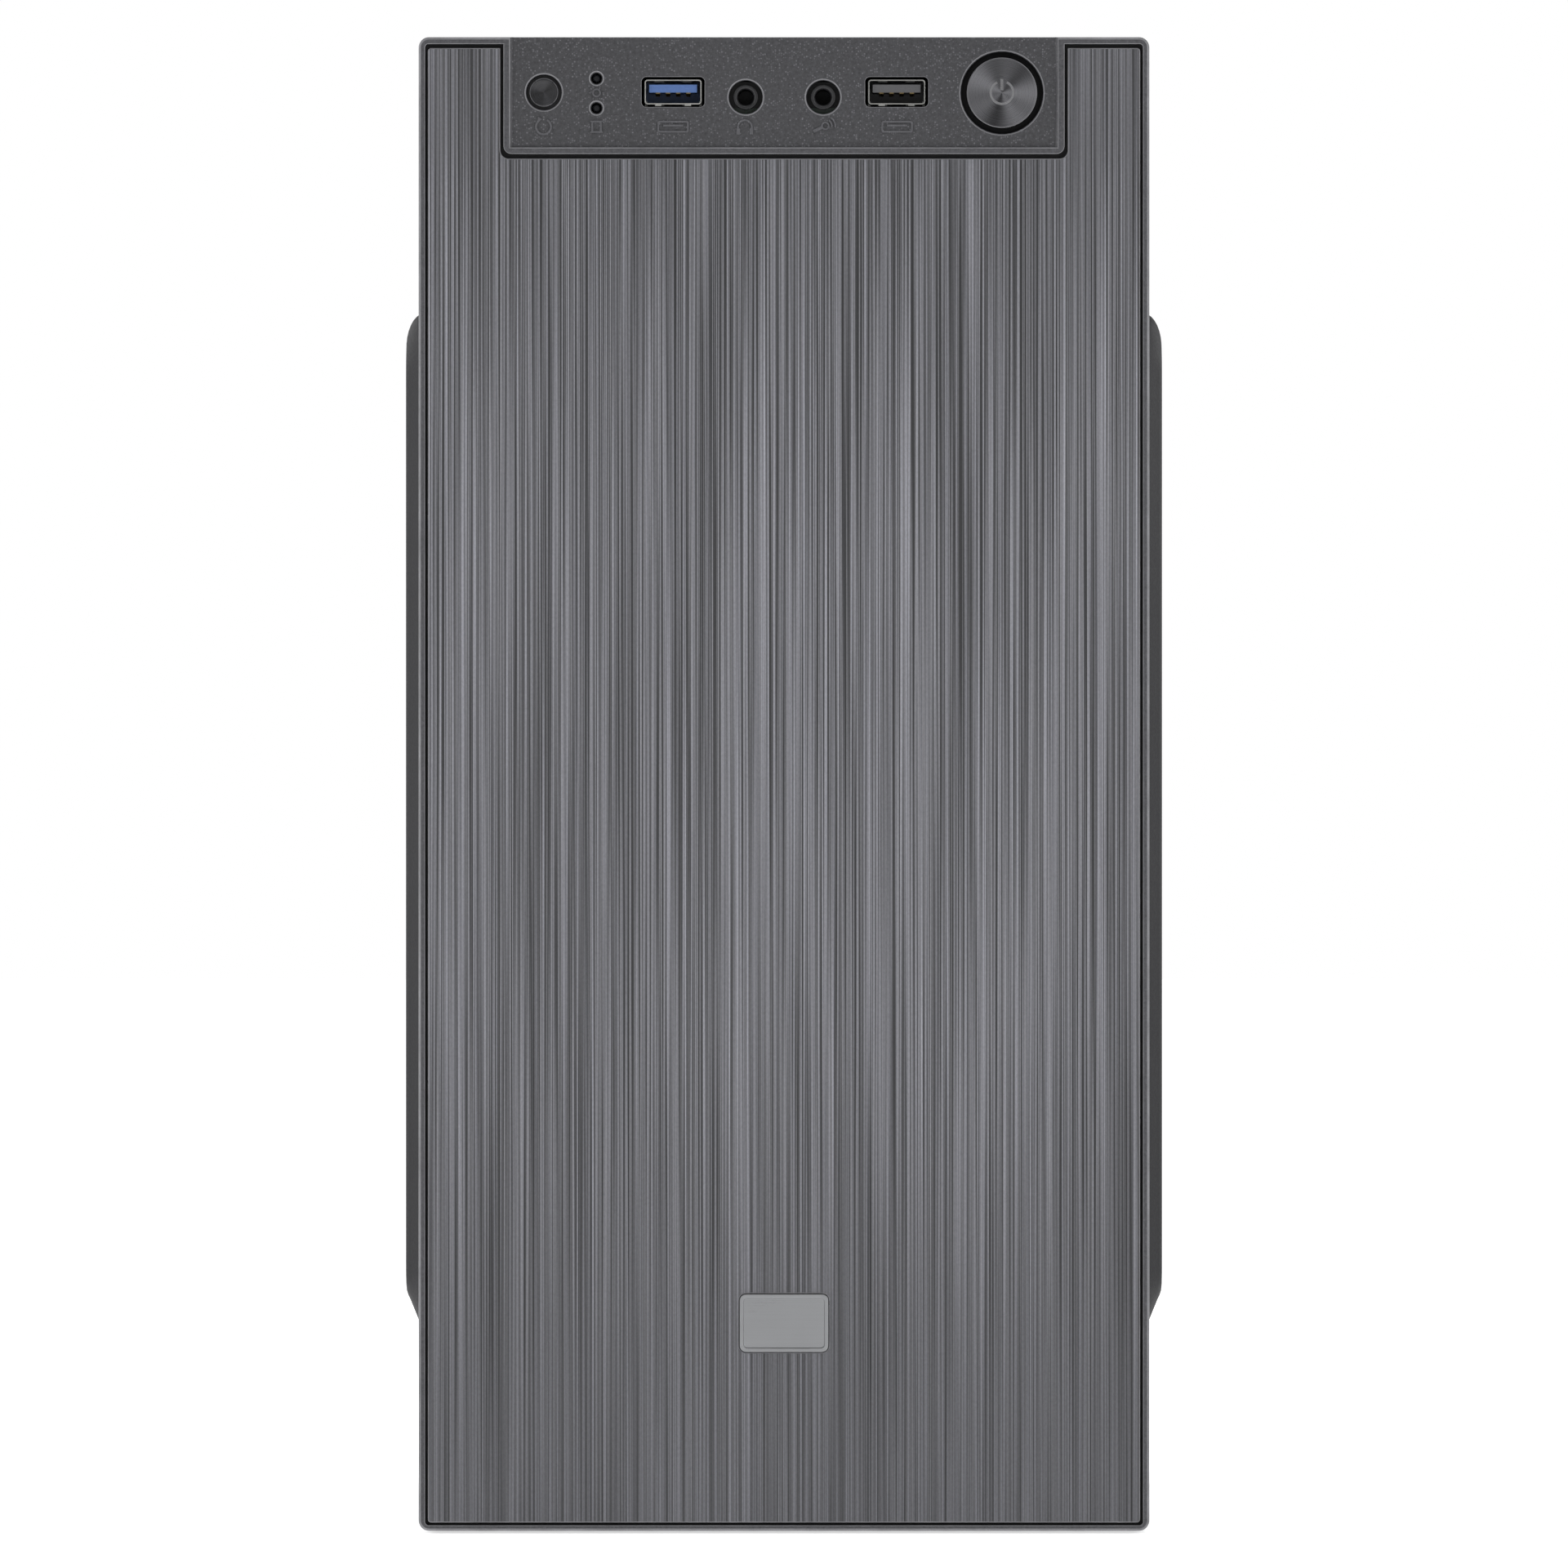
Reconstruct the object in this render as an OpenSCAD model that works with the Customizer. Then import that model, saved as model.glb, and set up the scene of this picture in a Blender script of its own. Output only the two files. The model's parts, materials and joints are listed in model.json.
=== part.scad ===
// Desktop computer tower: a slim micro-ATX enclosure with its working contents.
// Frame: +Z up, +X to the right seen from the front, the front faces -Y.
// Origin: centre of the footprint on the floor. All lengths in millimetres.

/* [Overall] */
// Overall depth, front face to the thumbscrew heads at the back
depth = 380; // [380:1:396]
// Overall height, floor to the top of the front bezel
tower_h = 344; // [344:0.5:350]
// Width of the front bezel
bezel_w = 168; // [168:0.5:170]
// Depth of the plastic front bezel
bezel_d = 35; // [35:1:37]
// Height of the feet under the steel base
foot_h = 6.5; // [6.5:0.1:7]
// Thickness of the sheet steel
sheet = 0.8; // [0.7:0.05:0.8]

/* [Side panels] */
// How far each bulge stands out of the flat panel
bulge_out = 4.3; // [3.5:0.1:5]
// Lower end of the bulges above the floor
bulge_z0 = 44; // [40:1:50]
// Upper end of the bulges above the floor
bulge_z1 = 282; // [276:1:290]
// Diameter of the holes in the air vent of the left panel
vent_d = 4.2; // [3.6:0.1:4.6]

/* [Front strip] */
// Height of the line that the ports and buttons share
port_z = 331.3; // [331:0.1:331.6]
// Diameter of the power button
power_d = 16.2; // [15.6:0.1:16.6]
// Travel of the power button
power_travel = 1.5; // [1:0.1:1.5]
// Diameter of the reset button
reset_d = 6.6; // [6:0.1:6.8]
// Diameter of the audio jack bores
jack_bore_d = 3.6; // [3.6:0.02:3.64]

/* [Fans] */
// Size of the rear fan
rear_fan = 92; // [92:1:92]
// Number of blades on each fan
blades = 7; // [5:1:9]

/* [Power supply] */
// Width of the power supply
psu_w = 150; // [150:1:150]
// Height of the power supply
psu_h = 86; // [86:1:86]
// Length of the power supply
psu_d = 140; // [130:1:150]

/* [Hidden] */
$fn = 48;

t = sheet;
fy = -depth / 2;            // front-most plane
ry = depth / 2 - 6;         // outer face of the rear plate
riy = ry - t;               // inner face of the rear plate
by1 = fy + bezel_d;         // rear edge of the bezel
rim_y = fy + 0.4;           // front of the bezel rim
ins_y = fy + 0.6;           // front of the insert plate
field_y = rim_y + 0.75;     // sunk face that carries the ports
floor_y = fy + 3;           // floor of the insert pocket
back_y = fy + 5;            // back of the bezel's front wall
bz0 = 0.6;                  // lower edge of the bezel
hw = bezel_w / 2 - 0.3;     // half width over the flat side panels
cb = foot_h;                // underside of the base plate
cbi = cb + t;
ct = tower_h - 1;           // top of the top plate
cti = ct - t;
tz = tower_h - 344;         // shift of everything hung from the top
pz0 = cbi + 0.3;            // lower and upper edge of the side panels
pz1 = cti - 0.3;
px = hw - t;                // inner face of the side panels
zc = port_z + tz;
pow = [50.1, zc - 0.1];
res = [-55.2, zc];
jz = zc - 1.1;
jx = [-8.8, 9.0];
uz = zc + 0.1;
ux = [-25.5, 25.9];
led = [[-43.1, zc + 3.2], [-43.1, zc - 3.6]];
flange_y = back_y + 0.3;    // front of the button flanges
sw_y = fy + 14.5;           // front of the push switches
vb_y = fy + 18;             // front of the upright switch boards
bx = 62;                    // component face of the main board
tray_x = 70;
board_z0 = 10; board_z1 = 254;
board_y0 = ry - 227; board_y1 = ry - 1.5;
cpu_y = ry - 86; cpu_z = 184;
slot_z = [80.3, 60, 39.7, 19.4];
io_z0 = 91.2; io_z1 = 249.9; io_x0 = 21.35; io_x1 = 65.8;
fan_x = -27; fan_z = 200;
psu_z0 = cti - psu_h; psu_y0 = riy - psu_d; psu_y1 = riy;
psu_fan_y = riy - 70;
hd_x0 = -20; hd_y0 = by1 + 4.4; hd_z0 = 20;
mem_y = [ry - 164, ry - 154];
sock = [-50, psu_z0 + 40];     // mains inlet centre
rock = [-23.5, psu_z0 + 40];     // rocker switch centre
screw_z = [52, 298];

// ---------- helpers ----------
module box(x0, x1, y0, y1, z0, z1) {
    translate([x0, y0, z0]) cube([x1 - x0, y1 - y0, z1 - z0]);
}
module yprism(y0, y1) { translate([0, y1, 0]) rotate([90, 0, 0]) linear_extrude(y1 - y0) children(); }
module xprism(x0, x1) { translate([x0, 0, 0]) rotate([90, 0, 90]) linear_extrude(x1 - x0) children(); }
module zprism(z0, z1) { translate([0, 0, z0]) linear_extrude(z1 - z0) children(); }
module ycyl(x, z, y0, y1, r) { translate([x, y1, z]) rotate([90, 0, 0]) cylinder(h = y1 - y0, r = r); }
module ycone(x, z, y0, y1, ra, rb) { translate([x, y1, z]) rotate([90, 0, 0]) cylinder(h = y1 - y0, r1 = rb, r2 = ra); }
module xcyl(y, z, x0, x1, r) { translate([x0, y, z]) rotate([0, 90, 0]) cylinder(h = x1 - x0, r = r); }
module zcyl(x, y, z0, z1, r) { translate([x, y, z0]) cylinder(h = z1 - z0, r = r); }
// rounded rectangle from corner a to corner b
module rr(a, b, r) {
    translate([a[0] + r, a[1]]) square([b[0] - a[0] - 2 * r, b[1] - a[1]]);
    translate([a[0], a[1] + r]) square([b[0] - a[0], b[1] - a[1] - 2 * r]);
    for (x = [a[0] + r, b[0] - r], z = [a[1] + r, b[1] - r]) translate([x, z]) circle(r);
}
// rounded rectangle of size w by h round its centre
module rc(w, h, r) { rr([-w / 2, -h / 2], [w / 2, h / 2], r); }
// points of an elliptical arc
function arc(cx, cz, rx, rz, a0, a1, n = 6) =
    [for (i = [0:n]) let (a = a0 + (a1 - a0) * i / n) [cx + rx * cos(a), cz + rz * sin(a)]];

// smooth route through hand-picked points, swept as a round tube
function crom(a, b, c, d, s) = 0.5 * (2 * b + (c - a) * s + (2 * a - 5 * b + 4 * c - d) * s * s + (3 * b - a - 3 * c + d) * s * s * s);
function route(P, n) = [for (i = [0:len(P) - 2]) for (k = [0:n - 1])
        crom(P[max(i - 1, 0)], P[i], P[i + 1], P[min(i + 2, len(P) - 1)], k / n), P[len(P) - 1]];
function unit(v) = v / norm(v);
function tang(R, i) = unit(R[min(i + 1, len(R) - 1)] - R[max(i - 1, 0)]);
function across(n, d) = unit(n - (n * d) * d);
function carry(R, n0) = [for (i = 0, n = across(n0, tang(R, 0)); i < len(R);
        i = i + 1, n = across(n, tang(R, min(i, len(R) - 1)))) n];
module sweep(R, ra, rb, sides, n0) {
    N = carry(R, n0);
    m = len(R);
    pts = [for (i = [0:m - 1]) let (d = tang(R, i), a = across(N[i], d), b = cross(d, a))
        for (k = [0:sides - 1]) R[i] + ra * cos(360 * k / sides) * a + rb * sin(360 * k / sides) * b];
    caps = [[for (k = [0:sides - 1]) k], [for (k = [sides - 1:-1:0]) (m - 1) * sides + k]];
    walls = [for (i = [0:m - 2], k = [0:sides - 1]) let (j = (k + 1) % sides)
        for (f = [[i * sides + k, (i + 1) * sides + k, (i + 1) * sides + j],
                  [i * sides + k, (i + 1) * sides + j, i * sides + j]]) f];
    polyhedron(pts, concat(caps, walls), convexity = 6);
}
module tube(P, r, n = 4, n0 = [0, 0, 1], flat = 1) { sweep(route(P, n), r, r * flat, 8, n0); }
module coil(x, z, y0, y1, r, wire, turns) {
    R = [for (i = [0:turns * 14]) [x + r * cos(i * 360 / 14), y0 + wire + (y1 - y0 - 2 * wire) * i / (turns * 14), z + r * sin(i * 360 / 14)]];
    sweep(R, wire, wire, 6, [0, 1, 0]);
}

// ---------- front ----------
module ic_reset() {
    difference() { circle(1.95); circle(1.5); polygon([[0, 0], [-1.5, 3], [1.5, 3]]); }
    polygon([[-1.35, 1.05], [-0.35, 1.75], [-1.25, 2.35]]);
}
module ic_sun() {
    difference() { circle(1.0); circle(0.65); }
    for (a = [0:60:300]) rotate(a) translate([1.3, -0.14]) square([0.5, 0.28]);
}
module ic_drum() {
    difference() { translate([-1.2, -1.4]) square([2.4, 2.8]); translate([-0.75, -1.0]) square([1.5, 2.0]); }
    for (x = [-1.5, 1.1], z = [-1.4, 1.1]) translate([x, z]) square([0.4, 0.3]);
}
module ic_port() {
    difference() { rc(7.2, 2.7, 0.5); rc(6.4, 1.9, 0.3); }
    translate([-2.3, 0.05]) square([4.6, 0.45]);
}
module ic_phones() {
    intersection() {
        difference() { circle(1.8); circle(1.4); }
        translate([-2, -0.4]) square([4, 3]);
    }
    for (s = [-1, 1]) translate([s * 1.5 - 0.42, -1.7]) square([0.84, 1.4]);
}
module ic_mic() {
    rotate(25) { translate([-3, -0.35]) square([2.4, 0.7]); difference() { circle(0.95); circle(0.6); }
        for (r = [1.5, 2.3]) intersection() {
            difference() { circle(r + 0.18); circle(r - 0.18); }
            polygon([[0, 0], [4, -2.6], [4, 2.6]]);
        }
    }
}
module tab2d(x, z) {
    translate([-x, z + 1.9]) square([2 * x, 40]);
    translate([-x + 1.9, z]) square([2 * x - 3.8, 10]);
    for (s = [-1, 1]) translate([s * (x - 1.9), z + 1.9]) circle(1.9);
}
module insert2d(grow) {
    difference() {
        rr([-81.9 - grow, 2.5 - grow], [81.9 + grow, tower_h - 2.5 + grow * 1.5], 0.8);
        tab2d(65.2 - 0.7 * (grow > 0 ? 1 : 0), 316.1 + tz + (grow > 0 ? 1.0 : 0));
    }
}
module front_bezel() color([0.29, 0.29, 0.31]) difference() {
    union() {
        difference() {
            yprism(rim_y, by1) rr([-bezel_w / 2, bz0], [bezel_w / 2, tower_h], 2.4);
            // pocket for the insert plate
            yprism(fy - 1, floor_y) insert2d(0.6);
            // hollow back
            yprism(back_y, by1 + 1) rr([-bezel_w / 2 + 2, bz0 + 2], [bezel_w / 2 - 2, tower_h - 2], 1.2);
            // sunk field of the port strip, sloped on both sides, open at the top
            intersection() {
                zprism(300, tower_h + 2) polygon([[-63.15, rim_y - 0.1], [63.15, rim_y - 0.1], [62.3, field_y], [-62.3, field_y]]);
                xprism(-70, 70) polygon([[rim_y - 1, 318.3 + tz], [field_y, 318.8 + tz], [field_y, tower_h + 3], [rim_y - 1, tower_h + 3]]);
            }
        }
        // raised symbols
        yprism(field_y - 0.28, field_y + 0.4) {
            translate([-55.3, 323.4 + tz]) ic_reset();
            translate([-43.1, zc - 0.1]) ic_sun();
            translate([-43.1, 323.4 + tz]) ic_drum();
            translate([-25.5, 323.4 + tz]) ic_port();
            translate([26.0, 323.4 + tz]) ic_port();
            translate([-9.0, 323.3 + tz]) ic_phones();
            translate([9.5, 323.6 + tz]) ic_mic();
        }
        // rails under the port board and posts for the switch boards
        for (x = [-34, 31]) box(x, x + 3, back_y - 0.1, by1 - 4, zc - 9.3, zc - 5.1);
        for (p = [[39.5, -8.2], [60.7, 8.2], [39.5, 8.2], [60.7, -8.2], [-60.4, -7.3], [-39.9, 8.4], [-60.4, 8.4]])
            ycyl(p[0], zc + p[1], back_y - 0.1, vb_y, 1.5);
        // snap posts that hold the bezel on the steel front
        for (s = [-1, 1], z = [30, 172, 300]) {
            box(s * 72 - 4, s * 72 + 4, back_y - 0.1, by1 + 5, z - 1.5, z + 1.5);
            box(s * 72 - 4, s * 72 + 4, by1 + 1.4, by1 + 4.2, z + 1.4, z + 2.6);
        }
        // ribs on the back of the front wall
        for (z = [60, 130, 200, 270]) box(-bezel_w / 2 + 1.5, bezel_w / 2 - 1.5, back_y - 0.1, back_y + 4, z - 0.8, z + 0.8);
    }
    // button, light, port and jack openings
    ycyl(pow[0], pow[1], fy - 1, back_y + 1, 9.4);
    ycone(pow[0], pow[1], field_y - 0.01, field_y + 0.35, 9.75, 9.4);
    ycyl(res[0], res[1], fy - 1, back_y + 1, 4.05);
    ycone(res[0], res[1], field_y - 0.01, field_y + 0.3, 4.35, 4.05);
    for (l = led) {
        ycyl(l[0], l[1], fy - 1, back_y + 1, 1.2);
        ycone(l[0], l[1], field_y - 0.01, field_y + 0.45, 1.65, 1.2);
    }
    for (x = jx) {
        ycyl(x, jz, fy - 1, back_y + 1, 3.85);
        ycone(x, jz, field_y - 0.01, field_y + 0.3, 4.15, 3.85);
    }
    for (x = ux) translate([x, 0, uz]) yprism(fy - 1, back_y + 1) rc(14.5, 6.9, 1.1);
    // air intake slots in the lower edge
    for (i = [-9:9]) box(i * 7.6 - 1.8, i * 7.6 + 1.8, fy + 12, by1 - 6, bz0 - 1, bz0 + 3);
}
module front_insert() color([0.42, 0.42, 0.43]) difference() {
    yprism(ins_y, floor_y) insert2d(0);
    // seat of the badge
    translate([0, 0, 48.4]) yprism(fy - 1, ins_y + 0.6) rc(20.6, 13.5, 1.6);
}
module badge_plate() color([0.68, 0.69, 0.7]) translate([0, 0, 48.4]) {
    difference() {
        yprism(fy, ins_y + 0.6) rc(20.4, 13.3, 1.5);
        yprism(fy - 1, fy + 0.25) rc(18.6, 11.5, 0.9);
    }
}
module indicator_leds() color([0.12, 0.12, 0.14]) for (l = led) {
    difference() {
        union() { ycyl(l[0], l[1], back_y - 2.4, back_y + 4, 1.05); translate([l[0], back_y - 2.4, l[1]]) sphere(r = 1.05); }
        box(l[0] - 2, l[0] + 2, fy, back_y - 2.4 - 0.9, l[1] - 2, l[1] + 2);
    }
    for (s = [-0.6, 0.6]) box(l[0] + s - 0.2, l[0] + s + 0.2, back_y + 4, vb_y, l[1] - 0.2, l[1] + 0.2);
}
module front_boards() color([0.05, 0.22, 0.13]) {
    box(-36, 36, back_y + 1.0, by1 - 4, zc - 5.1, zc - 3.5);
    difference() {
        box(37.5, 62.7, vb_y, vb_y + 1.6, zc - 10.3, zc + 10.2);
        ycyl(50.1, zc - 0.1, vb_y - 1, vb_y + 3, 0.6);
    }
    box(-62.5, -38, vb_y, vb_y + 1.6, zc - 9.3, zc + 10.2);
}
module usb_port_shells() color([0.75, 0.76, 0.77]) for (x = ux) translate([x, 0, uz]) {
    difference() {
        yprism(fy + 0.9, fy + 16) rc(13.1, 5.72, 0.7);
        yprism(fy, fy + 17) rc(12.5, 5.12, 0.45);
        // spring windows in the top and bottom walls
        for (s = [-3.2, 3.2]) box(s - 1.1, s + 1.1, fy + 4, fy + 10, -4, 4);
    }
    // mounting tabs down to the board
    for (s = [-1, 1]) box(s * 6.25 - 0.3, s * 6.25 + 0.3, fy + 8, fy + 12, -3.6, -2);
    for (s = [-3.4, 3.4]) box(s - 0.7, s + 0.7, fy + 1.0, fy + 1.35, -3.25, -2.7);
}
module tongue(x) translate([x, 0, uz]) {
    box(-5.5, 5.5, fy + 2.0, fy + 14.1, -0.1, 1.7);
    yprism(fy + 14, fy + 16) rc(12.46, 5.08, 0.43);
}
module usb_tongue_blue() color([0.13, 0.27, 0.62]) tongue(ux[0]);
module usb_tongue_black() color([0.1, 0.1, 0.11]) tongue(ux[1]);
module usb_contacts() color([0.8, 0.66, 0.32]) for (x = ux, i = [0:3]) translate([x - 3.5 + i * 7 / 3, 0, uz])
    xprism(-0.5, 0.5) polygon([[fy + 3, -0.1], [fy + 3, -0.35], [fy + 5.6, -0.95], [fy + 7.2, -0.75], [fy + 9, -0.35], [fy + 13.9, -0.35], [fy + 13.9, -0.1]]);
module audio_jacks() color([0.13, 0.13, 0.14]) for (x = jx) difference() {
    union() {
        ycyl(x, jz, fy + 1.0, back_y + 0.8, 2.8);
        box(x - 4.2, x + 4.2, back_y + 0.7, back_y + 13, zc - 3.5, jz + 3.6);
    }
    ycyl(x, jz, fy, back_y + 11.2, jack_bore_d / 2);
    ycone(x, jz, fy + 0.99, fy + 1.5, 2.25, jack_bore_d / 2);
}
module button(p, r, fr, sr, y0) {
    ycyl(p[0], p[1], y0, flange_y + 0.2, r);
    ycyl(p[0], p[1], flange_y, flange_y + 1, fr);
    ycyl(p[0], p[1], flange_y + 0.8, sw_y - 1.7, sr);
}
module power_button() color([0.36, 0.36, 0.37]) difference() {
    button(pow, power_d / 2, 10.3, 2.5, fy + 0.15);
    // sunk power symbol: a ring open at the top and a bar
    translate([pow[0], 0, pow[1]]) yprism(fy - 1, fy + 0.4) {
        difference() { circle(2.85); circle(2.35); polygon([[0, 0], [-1.9, 4], [1.9, 4]]); }
        translate([-0.32, 0.6]) square([0.64, 2.7]);
    }
}
module reset_button() color([0.2, 0.2, 0.21]) difference() {
    button(res, reset_d / 2, 5.2, 1.9, fy + 0.75);
    translate([res[0], fy - 21.2, res[1]]) sphere(r = 22.35, $fn = 96);
}
module power_plunger() color([0.7, 0.2, 0.16]) ycyl(pow[0], pow[1], sw_y - 1.7, sw_y + 1.3, 1.65);
module reset_plunger() color([0.7, 0.2, 0.16]) ycyl(res[0], res[1], sw_y - 1.7, sw_y + 1.3, 1.65);
module power_spring() color([0.72, 0.73, 0.74]) coil(pow[0], pow[1], flange_y + 1, sw_y, 3.5, 0.28, 5);
module reset_spring() color([0.72, 0.73, 0.74]) coil(res[0], res[1], flange_y + 1, sw_y, 2.7, 0.22, 6);
module button_switches() color([0.09, 0.09, 0.1]) for (p = [pow, res]) difference() {
    box(p[0] - 4.4, p[0] + 4.4, sw_y, vb_y, p[1] - 4.4, p[1] + 4.4);
    ycyl(p[0], p[1], sw_y - 1, sw_y + 3.2, 1.75);
}

// ---------- steel enclosure ----------
// outline of the groove along each long edge that a side-panel hem runs in
module groove2d() {
    translate([75.4, -0.1]) square([t, 5.9]);
    translate([75.4, 5]) square([5.4, t]);
    translate([80.8 - t, 1.8]) square([t, 4]);
}
module chassis_base() color([0.16, 0.16, 0.17]) difference() {
    union() {
        box(-hw + 0.1, hw - 0.1, by1, ry, cb, cbi);
        for (m = [0, 1]) mirror([m, 0, 0]) translate([0, 0, cbi]) yprism(by1 + 1, ry) groove2d();
    }
    for (x = [-62, 62], y = [by1 + 22, ry - 24]) zcyl(x, y, cb - 1, cbi + 1, 2.2);
    for (i = [0:7], x = [-38, 0, 38]) translate([x, by1 + 66 + i * 8, 0]) zprism(cb - 1, cbi + 1) rc(32, 3.6, 1.75);
}
module chassis_top() color([0.16, 0.16, 0.17]) union() {
    box(-hw + 0.1, hw - 0.1, by1, ry, cti, ct);
    for (m = [0, 1]) mirror([m, 0, 0]) translate([0, 0, cti]) mirror([0, 0, 1]) yprism(by1 + 1, ry) groove2d();
}
module chassis_front() color([0.16, 0.16, 0.17]) difference() {
    yprism(by1, by1 + t) rr([-hw + 1.3, cbi], [hw - 1.3, cti], 0.5);
    // holes for the snap posts
    for (s = [-1, 1], z = [30, 172, 300]) box(s * 72 - 4.6, s * 72 + 4.6, by1 - 1, by1 + 2, z - 2.2, z + 3.2);
    // opening behind the ports for boards and leads
    yprism(by1 - 1, by1 + 2) rr([-66, 312 + tz], [66, 338 + tz], 3);
    // fan mount: air holes in a hexagonal field
    for (i = [-5:5], j = [-5:5]) if (abs(i + j) <= 5)
        ycyl(0 + (i + j / 2) * 7, 236 + j * 6.06, by1 - 1, by1 + 2, 1.95);
}
module chassis_rear() color([0.16, 0.16, 0.17]) difference() {
    yprism(riy, ry) difference() {
        translate([-hw + 1.3, cbi]) square([2 * hw - 2.6, cti - cbi]);
        for (s = [-1, 1], z = [cbi - 1, cti - 6.6]) translate([s > 0 ? 75.2 : -90, z]) square([14.8, 7.6]);
    }
    // power supply window, port window, card slots, fan grille
    yprism(riy - 1, ry + 1) {
        rr([-71, psu_z0 + 11], [71, psu_z0 + 75.5], 3);
        translate([io_x0, io_z0]) square([io_x1 - io_x0, io_z1 - io_z0]);
        for (z = slot_z) rr([-38, z - 6.5], [60, z + 6.5], 1);
        for (i = [-6:6], j = [-6:6]) if (abs(i + j) <= 6 && norm([(i + j / 2) * 7, j * 6.062]) < 40.5)
            translate([fan_x + (i + j / 2) * 7, fan_z + j * 6.062]) circle(2.75);
        for (s = [-1, 1], u = [-1, 1]) translate([fan_x + s * 41.25, fan_z + u * 41.25]) circle(2.2);
        for (j = [0:4], x = [-70, -34]) rr([x, 108 + j * 7.5], [x + 32, 111.6 + j * 7.5], 1.75);
    }
    for (z = slot_z) ycyl(-46, z, riy - 1, ry + 1, 1.9);
    for (s = [-1, 1], z = screw_z) ycyl(s * 78.8, z, riy - 1, ry + 1, 1.9);
    for (p = psu_holes()) ycyl(p[0], p[1], riy - 1, ry + 1, 1.9);
}
function psu_holes() = [for (x = [-69, 69], z = [psu_z0 + 6, psu_z0 + 80]) [x, z]];
module motherboard_tray() color([0.17, 0.17, 0.18]) difference() {
    union() {
        xprism(tray_x, tray_x + t) difference() {
            translate([board_y0 - 18, cbi]) square([riy - board_y0 + 18, 255.8 - cbi]);
            translate([0, 0]) rr([cpu_y - 48, cpu_z - 52], [cpu_y + 44, cpu_z + 46], 5);
            for (z = [40, 110, 190]) rr([board_y0 - 14, z], [board_y0 - 3, z + 46], 4);
        }
        // stiffening flange on the front edge
        box(tray_x - 8, tray_x + t, board_y0 - 18.8, board_y0 - 18, cbi, 255.8);
    }
    for (p = bolts()) xcyl(p[0], p[1], tray_x - 1, tray_x + t + 1, 1.9);
}
function bolts() = [for (y = [board_y0 + 8, board_y0 + 108, board_y1 - 8.5], z = [board_z0 + 8, board_z0 + 62, board_z1 - 6]) [y, z]];
module drive_bracket() color([0.18, 0.18, 0.19]) {
    x0 = hd_x0 + 26.1;
    difference() {
        union() {
            box(x0, x0 + 1, hd_y0 - 1.5, hd_y0 + 104, cbi, 178);
            box(x0, x0 + 22, hd_y0 - 1.5, hd_y0 + 104, cbi, cbi + 1);
            box(x0, x0 + 16, by1 + t, by1 + t + 1, cbi, 178);
            box(x0, x0 + 1, by1 + t, hd_y0 - 1.4, cbi, 178);
        }
        for (p = drive_holes()) xcyl(p[0], p[1], x0 - 1, x0 + 3, 1.9);
        for (y = [hd_y0 + 29, hd_y0 + 71], z = [60, 90, 120, 150]) xcyl(y, z, x0 - 1, x0 + 3, 6);
        for (y = [hd_y0 + 20, hd_y0 + 80]) zcyl(x0 + 13, y, cbi - 1, cbi + 3, 1.9);
    }
}
function drive_holes() = [for (y = [hd_y0 + 3.2 + 3, hd_y0 + 98.4 - 3], z = [hd_z0 + 41, hd_z0 + 118]) [y, z]];
module feet() color([0.08, 0.08, 0.09]) for (x = [-62, 62], y = [by1 + 22, ry - 24]) difference() {
    union() { translate([x, y, 0]) cylinder(h = 1, r1 = 10, r2 = 11); zcyl(x, y, 1, cb, 11); zcyl(x, y, cb - 0.1, cbi + 1.2, 2.1); }
    zcyl(x, y, -1, 2.6, 5);
}

// outline of a bulge across the tower, for one side; k shrinks it to the inside
function bulge_xz(k) = concat(
    [[hw - t - (k > 0 ? 2 : 0), bulge_z0 + k]],
    [[hw - k, bulge_z0 + k]],
    arc(hw + bulge_out - k - 2.5, bulge_z0 + 11.5, 2.5, 4, -50, 0, 4),
    arc(hw + bulge_out - k - 4.3, bulge_z1 - k - 8, 4.3, 8, 0, 90, 7),
    [[hw - t - (k > 0 ? 2 : 0), bulge_z1 - k]]);
function bulge_xy(k) = let (y0 = by1 + 14 + k, y1 = ry - 26 - k, e = hw + bulge_out - k) concat(
    [[hw - t - (k > 0 ? 2 : 0), y0]], [[hw - k, y0]],
    arc(e - 2.5, y0 + 9.5, 2.5, 4, -50, 0, 4), arc(e - 2.5, y1 - 9.5, 2.5, 4, 0, 50, 4),
    [[hw - k, y1]], [[hw - t - (k > 0 ? 2 : 0), y1]]);
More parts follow.
